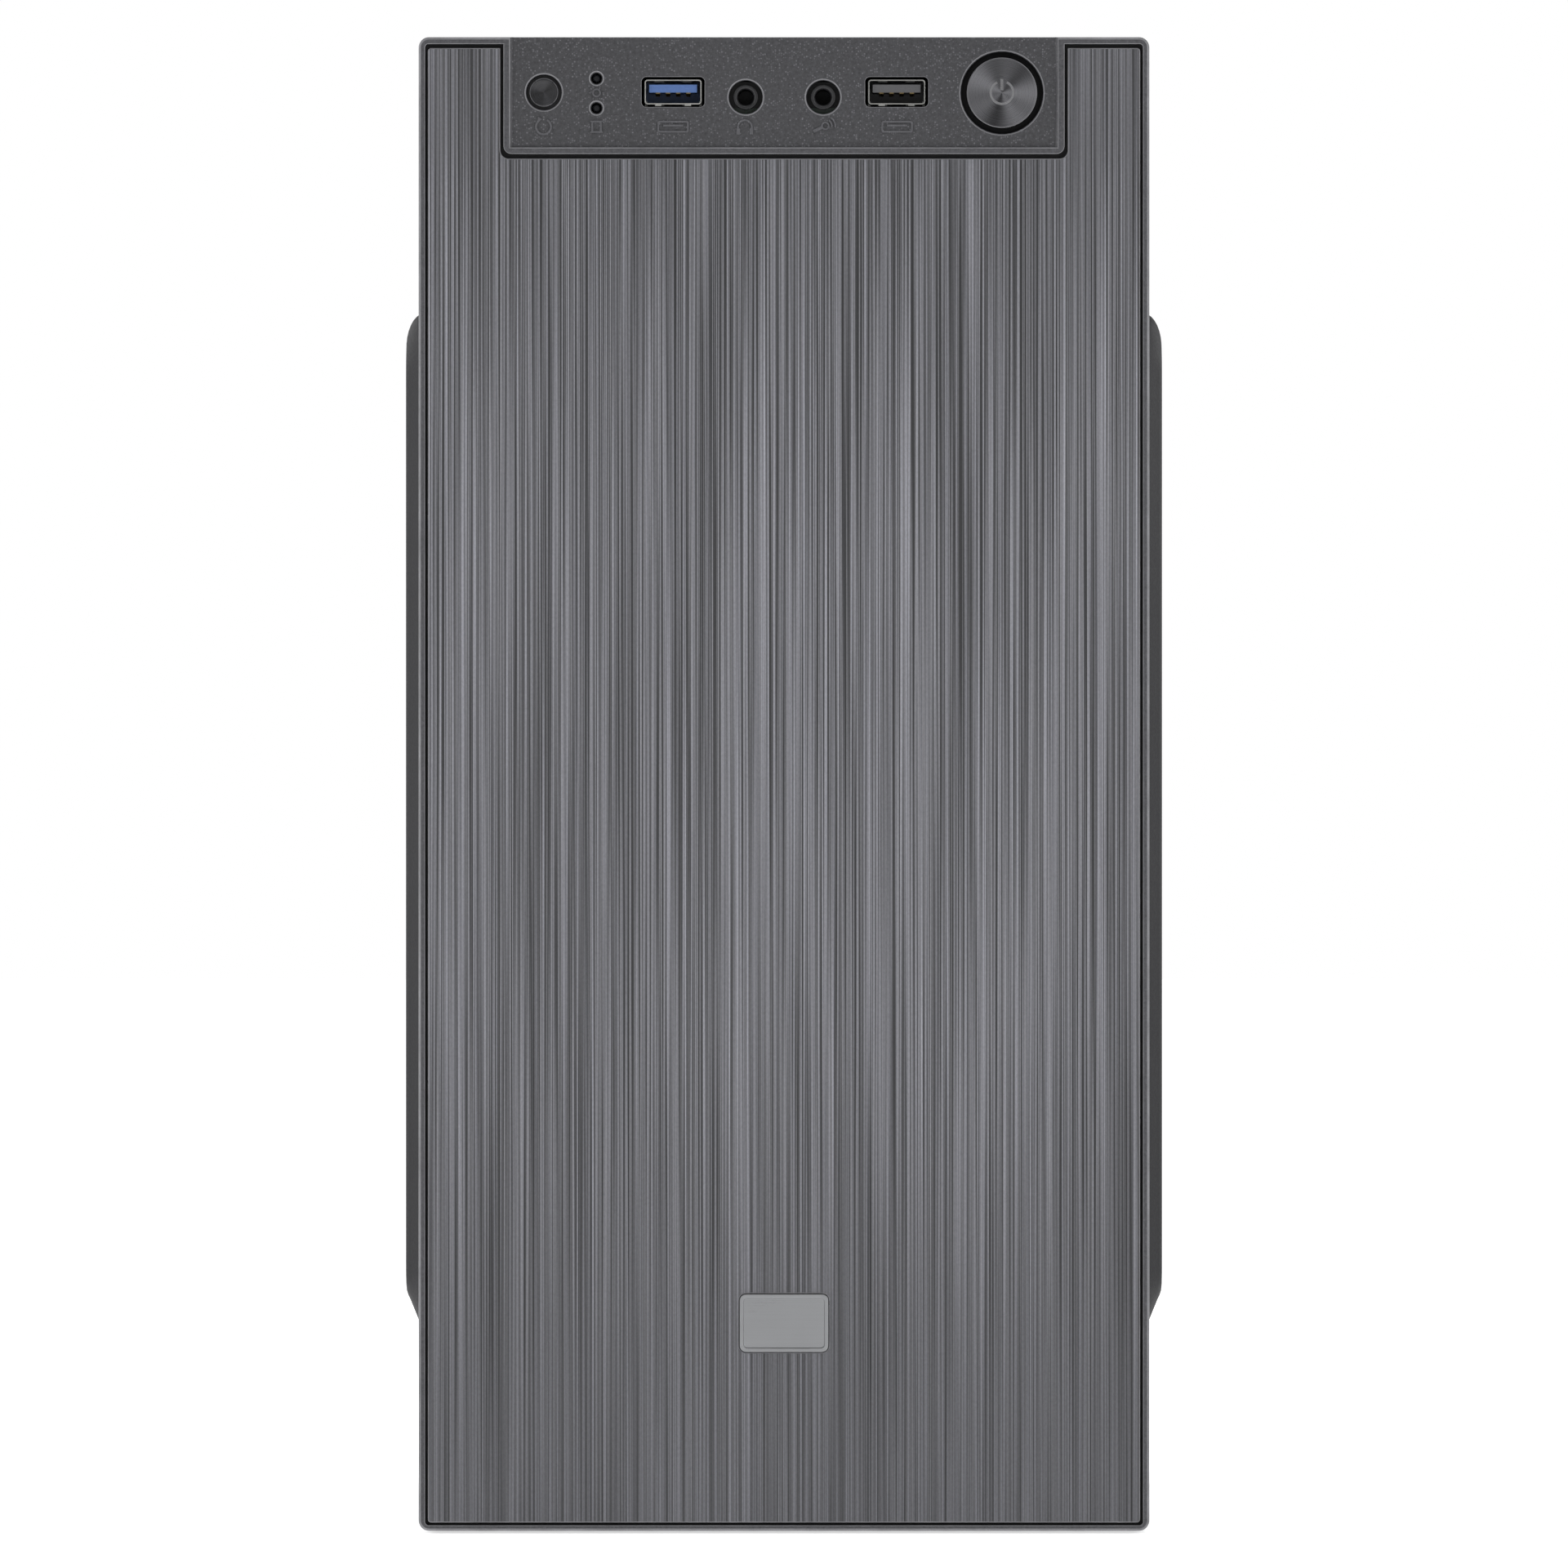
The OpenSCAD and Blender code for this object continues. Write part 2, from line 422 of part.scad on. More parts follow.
module side_panel(vents) {
    difference() {
        union() {
            xprism(px, hw) translate([by1 + 0.3, pz0]) square([ry + 0.3 + t - by1 - 0.3, pz1 - pz0]);
            intersection() {
                yprism(by1 + 5, ry - 5) polygon(bulge_xz(0));
                zprism(20, 320) polygon(bulge_xy(0));
            }
        }
        intersection() {
            yprism(by1 + 5, ry - 5) polygon(bulge_xz(t));
            zprism(20, 320) polygon(bulge_xy(t));
        }
        if (vents) for (i = [-5:5], j = [-5:5]) if (abs(i + j) <= 5)
            xcyl(cpu_y + (i + j / 2) * 7.4, cpu_z + j * 6.41, hw - 1, hw + 8, vent_d / 2);
        // finger grip pressed in near the rear edge
        xprism(hw - 0.35, hw + 1) rr([ry - 16, 150], [ry - 8, 200], 3.9);
    }
    // hems that run in the grooves of base and top
    yprism(by1 + 1.4, riy - 0.4) {
        translate([77.2, pz1 - t]) square([px - 77.2 + 0.05, t]);
        translate([77.2, pz1 - 3.7]) square([t, 3.7]);
        translate([77.2, pz0]) square([px - 77.2 + 0.05, t]);
        translate([77.2, pz0]) square([t, 3.7]);
    }
    // rear flange that the thumbscrews go through
    difference() {
        yprism(ry + 0.3, ry + 0.3 + t) translate([74, pz0 + 4]) square([hw - 74, pz1 - pz0 - 8]);
        for (z = screw_z) ycyl(78.8, z, ry - 1, ry + 3, 1.9);
    }
}
module right_side_panel() color([0.27, 0.27, 0.28]) side_panel(false);
module left_side_panel() color([0.27, 0.27, 0.28]) mirror([1, 0, 0]) side_panel(true);
module thumbscrew(x, z) {
    y0 = ry + 0.3 + t;
    difference() {
        union() { ycyl(x, z, y0, y0 + 1.2, 4.6); ycyl(x, z, y0 + 1.1, fy + depth, 4.3); }
        for (a = [0:20:340]) translate([x, 0, z]) rotate([0, a, 0]) translate([4.45, 0, 0]) ycyl(0, 0, y0 + 1.4, fy + depth + 1, 0.35);
        box(x - 3.2, x + 3.2, fy + depth - 1, fy + depth + 1, z - 0.5, z + 0.5);
        box(x - 0.5, x + 0.5, fy + depth - 1, fy + depth + 1, z - 3.2, z + 3.2);
    }
    ycyl(x, z, riy - 5, y0 + 0.1, 1.6);
}
module right_panel_screws() color([0.1, 0.1, 0.11]) for (z = screw_z) thumbscrew(78.8, z);
module left_panel_screws() color([0.1, 0.1, 0.11]) for (z = screw_z) thumbscrew(-78.8, z);
module slot_covers() color([0.2, 0.2, 0.21]) for (z = slot_z) difference() {
    yprism(ry, ry + t) rr([-51, z - 9.3], [63, z + 9.3], 1.5);
    ycyl(-46, z, ry - 1, ry + 2, 1.9);
    for (i = [0:7]) translate([-28 + i * 11.5, 0, z]) yprism(ry - 1, ry + 2) rc(7.5, 3.4, 1.6);
}
// pan-head screw along +Y, head outside
module yscrew(x, z, y, l) difference() {
    union() {
        ycyl(x, z, y, y + 1.3, 3.1); ycone(x, z, y + 1.2, y + 2.1, 3.1, 2.2);
        ycyl(x, z, y - l, y + 0.1, 1.6);
    }
    for (a = [0, 90]) translate([x, y + 2, z]) rotate([0, a, 0]) box(-1.7, 1.7, -0.9, 1, -0.35, 0.35);
}
module xscrew(y, z, x, l, s) difference() {
    union() {
        xcyl(y, z, min(x, x + s * 2), max(x, x + s * 2), 3.1);
        xcyl(y, z, min(x - s * l, x + s * 0.1), max(x - s * l, x + s * 0.1), 1.5);
    }
    for (a = [0, 90]) translate([x + s * 1.9, y, z]) rotate([a, 0, 0]) box(-0.9, 0.9, -1.7, 1.7, -0.35, 0.35);
}
module chassis_screws() color([0.62, 0.63, 0.64]) {
    for (z = slot_z) yscrew(-46, z, ry + t, 5.6);
    for (p = psu_holes()) yscrew(p[0], p[1], ry, 5);
    for (s = [-1, 1], u = [-1, 1]) yscrew(fan_x + s * 41.25, fan_z + u * 41.25, ry, 9);
    for (p = bolts()) xscrew(p[0], p[1], bx, 6.4, -1);
    for (p = drive_holes()) xscrew(p[0], p[1], hd_x0 + 27.1, 5.5, 1);
}

// ---------- main board ----------
module motherboard() color([0.06, 0.07, 0.08]) difference() {
    box(bx, bx + 1.6, board_y0, board_y1, board_z0, board_z1);
    for (p = bolts()) xcyl(p[0], p[1], bx - 1, bx + 3, 1.9);
}
module board_standoffs() color([0.78, 0.64, 0.3]) for (p = bolts()) difference() {
    union() {
        translate([bx + 1.6, p[0], p[1]]) rotate([0, 90, 0]) cylinder(h = tray_x - bx - 1.6, r = 3.2, $fn = 6);
        xcyl(p[0], p[1], tray_x - 0.1, tray_x + 2.4, 1.7);
    }
    xcyl(p[0], p[1], bx, bx + 7.6, 1.6);
}
// mouth of a flat bus port with its tongue left standing
module port_hole(x, z) difference() {
    box(x - 2.6, x + 2.6, ry - 14, ry + 2, z - 6.3, z + 6.3);
    box(x - 1.7, x + 0.1, ry - 15, ry, z - 5.5, z + 5.5);
}
module rear_ports() color([0.66, 0.67, 0.68]) {
    // keyboard port
    difference() {
        box(bx - 13.5, bx, ry - 13, ry + 1.2, 229.5, 244.5);
        ycyl(bx - 7, 237, ry + 0.3, ry + 2, 4.6);
        for (a = [20:64:340]) ycyl(bx - 7 + 2.9 * cos(a), 237 + 2.9 * sin(a), ry - 4, ry + 2, 0.6);
    }
    // two stacked pairs of flat bus ports
    for (z = [219, 150.5]) difference() {
        box(bx - 15.6, bx, ry - 17, ry + 1.2, z - 7, z + 7);
        for (o = [4, 11.6]) port_hole(bx - o, z);
    }
    // picture connector with a trapezoid shell
    box(bx - 12.5, bx, ry - 12, ry + 0.3, 176, 207);
    difference() {
        yprism(ry + 0.2, ry + 4) translate([bx - 6.2, 191.5]) polygon([[-4.2, -8.6], [4.2, -7.6], [4.2, 7.6], [-4.2, 8.6]]);
        for (c = [-2.4, 0, 2.4], k = [-2:2]) ycyl(bx - 6.2 + c, 191.5 + k * 2.9, ry + 1.5, ry + 5, 0.55);
    }
    for (z = [179.5, 203.5]) ycyl(bx - 6.2, z, ry + 0.2, ry + 4, 2.3);
    // network port over a pair of bus ports
    difference() {
        box(bx - 28, bx, ry - 20, ry + 1.2, 121.5, 138);
        box(bx - 26.6, bx - 17.2, ry - 13, ry + 2, 123.8, 135.7);
        for (o = [4, 11.6]) port_hole(bx - o, 129.7);
    }
}
module rear_audio_jacks() color([0.2, 0.45, 0.3]) for (i = [0:2]) difference() {
    z = 104.5;
    x = bx - 6.5 - i * 13;
    union() { box(x - 5.9, x + 5.9 + (i == 0 ? 0.6 : 0), ry - 13, ry - 2.4, z - 6, z + 6); ycyl(x, z, ry - 2.5, ry + 1.4, 4.1); }
    ycyl(x, z, ry - 11, ry + 2, 1.8);
}
module io_shield() color([0.7, 0.71, 0.72]) difference() {
    union() {
        box(io_x0 + 0.1, io_x1 - 0.1, riy, ry + 0.2, io_z0 + 0.1, io_z1 - 0.1);
        box(io_x0 - 1.4, io_x1 + 1.2, riy - 0.5, riy, io_z0 - 1.4, io_z1 + 1.4);
    }
    box(bx - 13.8, bx + 0.3, riy - 2, ry + 2, 229.2, 244.8);
    for (z = [219, 150.5]) box(bx - 15.9, bx + 0.3, riy - 2, ry + 2, z - 7.3, z + 7.3);
    box(bx - 12.8, bx + 0.3, riy - 2, ry + 2, 175.7, 207.3);
    box(bx - 28.3, bx + 0.3, riy - 2, ry + 2, 121.2, 138.3);
    for (i = [0:2]) ycyl(bx - 6.5 - i * 13, 104.5, riy - 2, ry + 2, 4.4);
    for (k = [0:9]) ycyl(bx - 34, 148 + k * 9.5, riy - 2, ry + 2, 2.2);
}
module memory_slots() color([0.1, 0.11, 0.13]) for (y = mem_y) {
    difference() {
        union() {
            box(bx - 7, bx, y - 3.2, y + 3.2, 106, 244.9);
            box(bx - 13, bx, y - 3.2, y + 3.2, 104, 110.4);
            for (s = [-1, 1]) box(bx - 7, bx, y + s * 2.7 - 0.5, y + s * 2.7 + 0.5, 244.8, 252);
            box(bx - 0.9, bx, y - 3.2, y + 3.2, 244.8, 252);
        }
        box(bx - 14, bx - 1.8, y - 0.8, y + 0.8, 110.9 - 2, 246);
        ycyl(bx - 3.6, 248.5, y - 5, y + 5, 1.08);
    }
}
module memory_modules() color([0.07, 0.3, 0.16]) for (y = mem_y) {
    box(bx - 32.8, bx - 1.8, y - 0.63, y + 0.63, 111, 244.4);
    for (k = [0:7]) box(bx - 25, bx - 14, y - 1.75, y + 1.75, 116 + k * 16, 125 + k * 16);
}
module latch(y) {
    xy = bx - 3.6;
    ycyl(xy, 248.5, y - 1.9, y + 1.9, 1.8);
    ycyl(xy, 248.5, y - 3.1, y + 3.1, 1.0);
    box(bx - 15, xy, y - 1.9, y + 1.9, 246, 250.2);
    box(bx - 16.5, bx - 13, y - 2.9, y + 2.9, 246, 252.2);
}
module memory_latch_front() color([0.85, 0.85, 0.86]) latch(mem_y[0]);
module memory_latch_rear() color([0.85, 0.85, 0.86]) latch(mem_y[1]);
module expansion_slots() color([0.1, 0.11, 0.13]) for (k = [0:2]) {
    l = k == 0 ? 89 : 25;
    y1 = ry - 44;
    difference() {
        box(bx - 11, bx, y1 - l, y1, slot_z[k] - 3.7, slot_z[k] + 3.7);
        box(bx - 12, bx - 3, y1 - l + 2, y1 - 13, slot_z[k] - 0.9, slot_z[k] + 0.9);
        box(bx - 12, bx - 3, y1 - 11.5, y1 - 2, slot_z[k] - 0.9, slot_z[k] + 0.9);
    }
}
atx_z = [168, 220];
module board_connectors() color([0.88, 0.87, 0.82]) {
    // main power header, processor power header, drive sockets, pin headers, fan header
    difference() {
        box(bx - 8, bx, board_y0 + 1, board_y0 + 10.6, atx_z[0], atx_z[1]);
        for (k = [0:11], o = [3.6, 8]) translate([0, board_y0 + o, atx_z[0] + 4 + k * 4]) box(bx - 9, bx - 2, -1.4, 1.4, -1.4, 1.4);
    }
    box(bx - 8, bx, cpu_y + 26, cpu_y + 44, 240, 249.6);
    for (z = [80, 98]) box(bx - 9, bx, board_y0 + 1, board_y0 + 8, z, z + 14.5);
    box(bx - 8.5, bx, board_y0 + 1, board_y0 + 6.2, 22, 48);
    box(bx - 8.5, bx, board_y0 + 20, board_y0 + 40, 12, 17.2);
    box(bx - 7, bx, ry - 24, ry - 17.5, 228, 238.5);
    box(bx - 7, bx, cpu_y - 60, cpu_y - 54, 237, 247.5);
}
module chipset_heatsink() color([0.5, 0.52, 0.55]) {
    box(bx - 3.5, bx, board_y0 + 26, board_y0 + 62, 64, 98);
    for (k = [0:7]) box(bx - 13, bx - 3.4, board_y0 + 26 + k * 5, board_y0 + 27 + k * 5, 64, 98);
}
module board_capacitors() color([0.2, 0.25, 0.45]) {
    for (k = [0:6]) xcyl(ry - 36, 148 + k * 12, bx - 9.5, bx, 4);
    for (k = [0:5]) box(bx - 7, bx, cpu_y - 36 + k * 10, cpu_y - 28 + k * 10, 233, 240);
    for (p = [[board_y0 + 75, 30], [board_y0 + 90, 30], [board_y0 + 20, 120], [board_y0 + 20, 140], [ry - 40, 92], [ry - 60, 95]]) xcyl(p[0], p[1], bx - 8, bx, 3.1);
    // coin cell in its holder
    xcyl(board_y0 + 84, 58, bx - 3.8, bx, 10.8);
}
module processor_socket() color([0.74, 0.75, 0.76]) {
    difference() {
        box(bx - 4, bx, cpu_y - 24, cpu_y + 24, cpu_z - 26, cpu_z + 26);
        box(bx - 5, bx - 1, cpu_y - 19, cpu_y + 19, cpu_z - 19, cpu_z + 19);
    }
    box(bx - 7.4, bx - 1, cpu_y - 18.7, cpu_y + 18.7, cpu_z - 18.7, cpu_z + 18.7);
}
hs_x1 = bx - 7.4;
hs_x0 = hs_x1 - 38;
module cpu_heatsink() color([0.72, 0.73, 0.75]) {
    xcyl(cpu_y, cpu_z, hs_x1 - 5, hs_x1, 22);
    box(hs_x1 - 8, hs_x1 - 4.9, cpu_y - 45, cpu_y + 45, cpu_z - 45, cpu_z + 45);
    for (k = [-10:10]) box(hs_x0, hs_x1 - 7.9, cpu_y + k * 4.45 - 0.5, cpu_y + k * 4.45 + 0.5, cpu_z - 45, cpu_z + 45);
    for (s = [-1, 1], u = [-1, 1]) xcyl(cpu_y + s * 37.5, cpu_z + u * 37.5, hs_x1 - 5, bx, 3);
}

// ---------- fans: axis along +Z, air enters at z = 0, struts at z = depth ----------
module fan_frame(w, d, hub) {
    br = w / 2 - 2;
    difference() {
        zprism(0, d) difference() { rc(w, w, 3.5); circle(br); }
        for (s = [-1, 1], u = [-1, 1]) translate([s * (w / 2 - 4.75), u * (w / 2 - 4.75), -1]) cylinder(h = d + 2, r = 2.15);
        // waist between the two corner flanges
        for (a = [0:90:270]) rotate(a) translate([0, w / 2 + 6, 4]) linear_extrude(d - 8) rc(w - 26, 12.8, 0.4);
    }
    translate([0, 0, d - 3.5]) cylinder(h = 3.5, r = hub + 0.5);
    intersection() {
        for (a = [45:90:315]) rotate(a) translate([0, -1.6, d - 3.5]) cube([br + 1, 3.2, 3.5]);
        cylinder(h = d, r = br + 0.5);
    }
    difference() {
        translate([0, 0, 5]) cylinder(h = d - 8.4, r = 3.4);
        translate([0, 0, 4]) cylinder(h = d - 6, r = 1.55);
    }
}
module fan_rotor(w, d, hub) {
    br = w / 2 - 3.4;
    difference() {
        translate([0, 0, 1.2]) cylinder(h = d - 6.2, r = hub);
        translate([0, 0, 3.2]) cylinder(h = d, r = hub - 1.6);
    }
    translate([0, 0, 3.1]) cylinder(h = d - 6.6, r = 1.48);
    intersection() {
        for (k = [0:blades - 1]) rotate(k * 360 / blades) translate([hub - 1, 0, d / 2 - 1.4]) rotate([42, 0, 0])
            translate([0, -(w * 0.13), -0.75]) cube([br, w * 0.26, 1.5]);
        difference() { translate([0, 0, 2]) cylinder(h = d - 7.5, r = br); translate([0, 0, 1]) cylinder(h = d, r = hub - 0.8); }
    }
}
cf_x0 = hs_x0 - 25;
module cpu_fan_frame() color([0.1, 0.1, 0.11]) translate([cf_x0, cpu_y, cpu_z]) rotate([0, 90, 0]) fan_frame(90, 25, 18);
module cpu_fan_rotor() color([0.14, 0.14, 0.15]) translate([cf_x0, cpu_y, cpu_z]) rotate([0, 90, 0]) fan_rotor(90, 25, 18);
module rear_fan_frame() color([0.1, 0.1, 0.11]) translate([fan_x, riy - 25, fan_z]) rotate([-90, 0, 0]) fan_frame(rear_fan, 25, 18);
module rear_fan_rotor() color([0.14, 0.14, 0.15]) translate([fan_x, riy - 25, fan_z]) rotate([-90, 0, 0]) fan_rotor(rear_fan, 25, 18);
module psu_fan_frame() color([0.1, 0.1, 0.11]) translate([0, psu_fan_y, psu_z0 + 1]) fan_frame(120, 25, 20);
module psu_fan_rotor() color([0.14, 0.14, 0.15]) translate([0, psu_fan_y, psu_z0 + 1]) fan_rotor(120, 25, 20);

// ---------- power supply ----------
module psu_housing() color([0.22, 0.22, 0.23]) difference() {
    box(-psu_w / 2, psu_w / 2, psu_y0, psu_y1, psu_z0, psu_z0 + psu_h);
    box(-psu_w / 2 + 1, psu_w / 2 - 1, psu_y0 + 1, psu_y1 - 1, psu_z0 + 1, psu_z0 + psu_h - 1);
    zcyl(0, psu_fan_y, psu_z0 - 1, psu_z0 + 2, 57);
    for (s = [-1, 1], u = [-1, 1]) zcyl(s * 52.5, psu_fan_y + u * 52.5, psu_z0 - 1, psu_z0 + 2, 2.2);
    // exhaust mesh
    for (i = [0:10], j = [0:8]) ycyl(-8 + i * 7.2 + (j % 2) * 3.6, psu_z0 + 18 + j * 6.24, psu_y1 - 2, psu_y1 + 1, 2.8);
    for (i = [0:6], j = [7:8]) ycyl(-65.6 + i * 7.2 + (j % 2) * 3.6, psu_z0 + 18 + j * 6.24, psu_y1 - 2, psu_y1 + 1, 2.8);
    translate([sock[0], 0, sock[1]]) yprism(psu_y1 - 2, psu_y1 + 1) rc(27.4, 20.2, 2);
    translate([rock[0], 0, rock[1]]) yprism(psu_y1 - 2, psu_y1 + 1) rc(15.4, 21.8, 0.8);
    // cable outlet
    translate([-46, 0, psu_z0 + 30]) yprism(psu_y0 - 1, psu_y0 + 2) rc(30, 22, 6);
    for (p = psu_holes()) ycyl(p[0], p[1], psu_y1 - 3, psu_y1 + 1, 1.9);
    for (i = [0:5]) translate([psu_w / 2 - 2, 0, 0]) xprism(0, 3) rr([psu_y0 + 22 + i * 9, psu_z0 + 40], [psu_y0 + 25.6 + i * 9, psu_z0 + 72], 1.75);
}
module psu_board() color([0.3, 0.33, 0.12]) {
    z1 = psu_z0 + psu_h - 7;
    box(-70, 70, psu_y0 + 6, psu_y1 - 24, z1 - 1.6, z1);
    for (x = [-38, 22]) box(x, x + 3, psu_y0 + 16, psu_y1 - 34, z1 - 41, z1 - 1.5);
    box(-22, 10, psu_y0 + 50, psu_y0 + 82, z1 - 34, z1 - 1.5);
    zcyl(44, psu_y0 + 40, z1 - 40, z1 - 1.5, 11);
    zcyl(-56, psu_y0 + 62, z1 - 30, z1 - 1.5, 9);
    zcyl(44, psu_y0 + 78, z1 - 26, z1 - 1.5, 12);
    for (x = [-8, 14], y = [psu_y0 + 16, psu_y0 + 34]) zcyl(x - 4, y, z1 - 24, z1 - 1.5, 5.5);
}
module psu_fan_guard() color([0.7, 0.71, 0.72]) translate([0, psu_fan_y, psu_z0 - 1.2]) {
    for (k = [1:7]) difference() {
        cylinder(h = 1.2, r = k * 7.4 + 0.6);
        translate([0, 0, -1]) cylinder(h = 4, r = k * 7.4 - 0.6);
    }
    cylinder(h = 1.2, r = 2);
    for (a = [45:90:315]) rotate(a) translate([0, -0.6, 0]) cube([74.2, 1.2, 1.2]);
    for (a = [45:90:315]) rotate(a) translate([74.2, 0, 0]) difference() { cylinder(h = 1.2, r = 3.2); translate([0, 0, -1]) cylinder(h = 4, r = 2); }
}
module psu_inlet() color([0.07, 0.07, 0.08]) {
    translate([sock[0], 0, sock[1]]) {
        difference() {
            union() { yprism(psu_y1 - 20, psu_y1 + 2.2) rc(27, 19.8, 1.8); yprism(psu_y1, psu_y1 + 2) rc(31, 24, 2.4); }
            yprism(psu_y1 - 16, psu_y1 + 3) rc(24, 16.6, 2);
        }
        for (p = [[-7, -2.4], [7, -2.4], [0, 2.4]]) box(p[0] - 1, p[0] + 1, psu_y1 - 17, psu_y1 - 2, p[1] - 2, p[1] + 2);
    }
    translate([rock[0], 0, rock[1]]) difference() {
        union() { yprism(psu_y1 - 13, psu_y1 + 1.4) rc(15, 21.4, 0.6); yprism(psu_y1, psu_y1 + 1.6) rc(17.4, 24, 1.2); }
        yprism(psu_y1 - 11.6, psu_y1 + 3) rc(12.6, 18.8, 0.5);
        xcyl(psu_y1 - 2.6, 0, -7.2, 7.2, 1.28);
    }
}
module psu_rocker() color([0.1, 0.1, 0.11]) translate([rock[0], psu_y1 - 2.6, rock[1]]) rotate([-7, 0, 0]) difference() {
    union() {
        xprism(-5.9, 5.9) polygon([[-6.5, -3], [-2, -8.2], [3.5, -8.5], [2.3, 0], [3.5, 8.5], [-2, 8.2], [-6.5, 3]]);
        xcyl(0, 0, -7, 7, 1.22);
    }
    // generic on bar and off ring
    translate([0, 0, 4.6]) xprism(-0.35, 0.35) polygon([[2.2, -2], [5, -2], [5, 2], [2.2, 2]]);
    translate([0, 0, -4.8]) difference() { ycyl(0, 0, 2.4, 5, 1.9); ycyl(0, 0, 2, 6, 1.3); }
}

// ---------- drive and cables ----------
module hard_drive() color([0.55, 0.56, 0.58]) difference() {
    union() {
        box(hd_x0, hd_x0 + 26.1, hd_y0, hd_y0 + 101.6, hd_z0, hd_z0 + 147);
        xprism(hd_x0 - 0.9, hd_x0 + 0.1) rr([hd_y0 + 3, hd_z0 + 8], [hd_y0 + 98.6, hd_z0 + 143], 8);
    }
    // connector recess on the upper end
    box(hd_x0 + 16, hd_x0 + 25, hd_y0 + 20, hd_y0 + 76, hd_z0 + 140, hd_z0 + 148);
    for (p = drive_holes()) xcyl(p[0], p[1], hd_x0 + 21, hd_x0 + 27, 1.65);
    // spindle recess in the lid
    xcyl(hd_y0 + 50, hd_z0 + 92, hd_x0 - 2, hd_x0 - 0.4, 12);
}
hd_t = hd_z0 + 147;
atx_y = board_y0 + 5.8;
module cable_plugs() color([0.13, 0.13, 0.14]) {
    // main power plug, processor power plug
    box(bx - 22, bx - 8, board_y0 + 1.4, board_y0 + 10.2, atx_z[0] + 0.6, atx_z[1] - 0.6);
    box(bx - 20, bx - 8, cpu_y + 26.6, cpu_y + 43.4, 240.4, 249.2);
    // drive power plug and drive data plugs
    box(hd_x0 + 17, hd_x0 + 24, hd_y0 + 42, hd_y0 + 66, hd_t - 7, hd_t + 10);
    box(hd_x0 + 17.6, hd_x0 + 23.6, hd_y0 + 22, hd_y0 + 35, hd_t - 7, hd_t + 10);
    box(bx - 22, bx - 9, board_y0 + 1.6, board_y0 + 7.4, 98.4, 112);
    // front panel plugs
    box(bx - 20, bx - 8.5, board_y0 + 1, board_y0 + 6.2, 22.6, 47.4);
}
module power_cables() color([0.06, 0.06, 0.07]) {
    yo = psu_y0 - 1;
    // from the outlet of the power supply to the main board, the processor and the drive
    tube([[-44, psu_y0 + 6, psu_z0 + 31], [-44, yo - 14, psu_z0 + 29], [-34, yo - 50, psu_z0 + 6], [-6, board_y0 + 10, 222], [24, board_y0 + 5.8, 200], [bx - 22, board_y0 + 5.8, 194]], 4.6, 5, [0, 0, 1]);
    tube([[-35, psu_y0 + 6, psu_z0 + 27], [-34, yo - 8, psu_z0 + 26], [-22, yo - 15, psu_z0 + 6], [-12, yo - 2, 247], [0, yo + 12, 246.5], [16, cpu_y + 4, 246.5], [30, cpu_y + 28, 245.5], [bx - 20, cpu_y + 35, 244.8]], 2.4, 5, [0, 0, 1]);
    tube([[-56, psu_y0 + 6, psu_z0 + 33], [-57, yo - 20, psu_z0 + 31], [-52, yo - 70, 252], [-36, hd_y0 + 70, 222], [-8, hd_y0 + 56, 198], [hd_x0 + 20.5, hd_y0 + 54, hd_t + 10]], 2.6, 5, [0, 0, 1]);
}
module signal_cables() color([0.55, 0.1, 0.08]) {
    // drive data cable
    tube([[hd_x0 + 20.6, hd_y0 + 28.5, hd_t + 10], [hd_x0 + 21, hd_y0 + 30, hd_t + 22], [12, hd_y0 + 48, hd_t + 22], [16, hd_y0 + 80, 150], [18, board_y0 - 8, 118], [26, board_y0 + 4.5, 107], [bx - 22, board_y0 + 4.5, 105.2]], 1.9, 5, [0, 1, 0]);
    // front panel leads, from the port boards down to the main board
    tube([[30, by1 - 3.6, zc - 4.3], [32, by1 + 8, zc - 5], [44, by1 + 22, 300], [52, by1 + 26, 240], [54, by1 + 30, 140], [48, board_y0 - 24, 60], [36, board_y0 - 4, 37], [38, board_y0 + 3.6, 35], [bx - 20, board_y0 + 3.6, 35]], 1.8, 4, [0, 1, 0]);
}

front_bezel();
front_insert();
badge_plate();
indicator_leds();
front_boards();
usb_port_shells();
usb_tongue_blue();
usb_tongue_black();
usb_contacts();
audio_jacks();
power_button();
power_plunger();
power_spring();
reset_button();
reset_plunger();
reset_spring();
button_switches();
chassis_base();
chassis_top();
chassis_front();
chassis_rear();
motherboard_tray();
drive_bracket();
feet();
left_side_panel();
right_side_panel();
left_panel_screws();
right_panel_screws();
slot_covers();
chassis_screws();
io_shield();
motherboard();
board_standoffs();
rear_ports();
rear_audio_jacks();
memory_slots();
memory_modules();
memory_latch_front();
memory_latch_rear();
expansion_slots();
board_connectors();
chipset_heatsink();
board_capacitors();
processor_socket();
cpu_heatsink();
cpu_fan_frame();
cpu_fan_rotor();
psu_housing();
psu_board();
psu_fan_frame();
psu_fan_rotor();
psu_fan_guard();
psu_inlet();
psu_rocker();
rear_fan_frame();
rear_fan_rotor();
hard_drive();
cable_plugs();
power_cables();
signal_cables();
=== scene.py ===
# Looks of the desktop computer tower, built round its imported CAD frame.
import math, json
import bpy, bmesh
from mathutils import Vector, Matrix


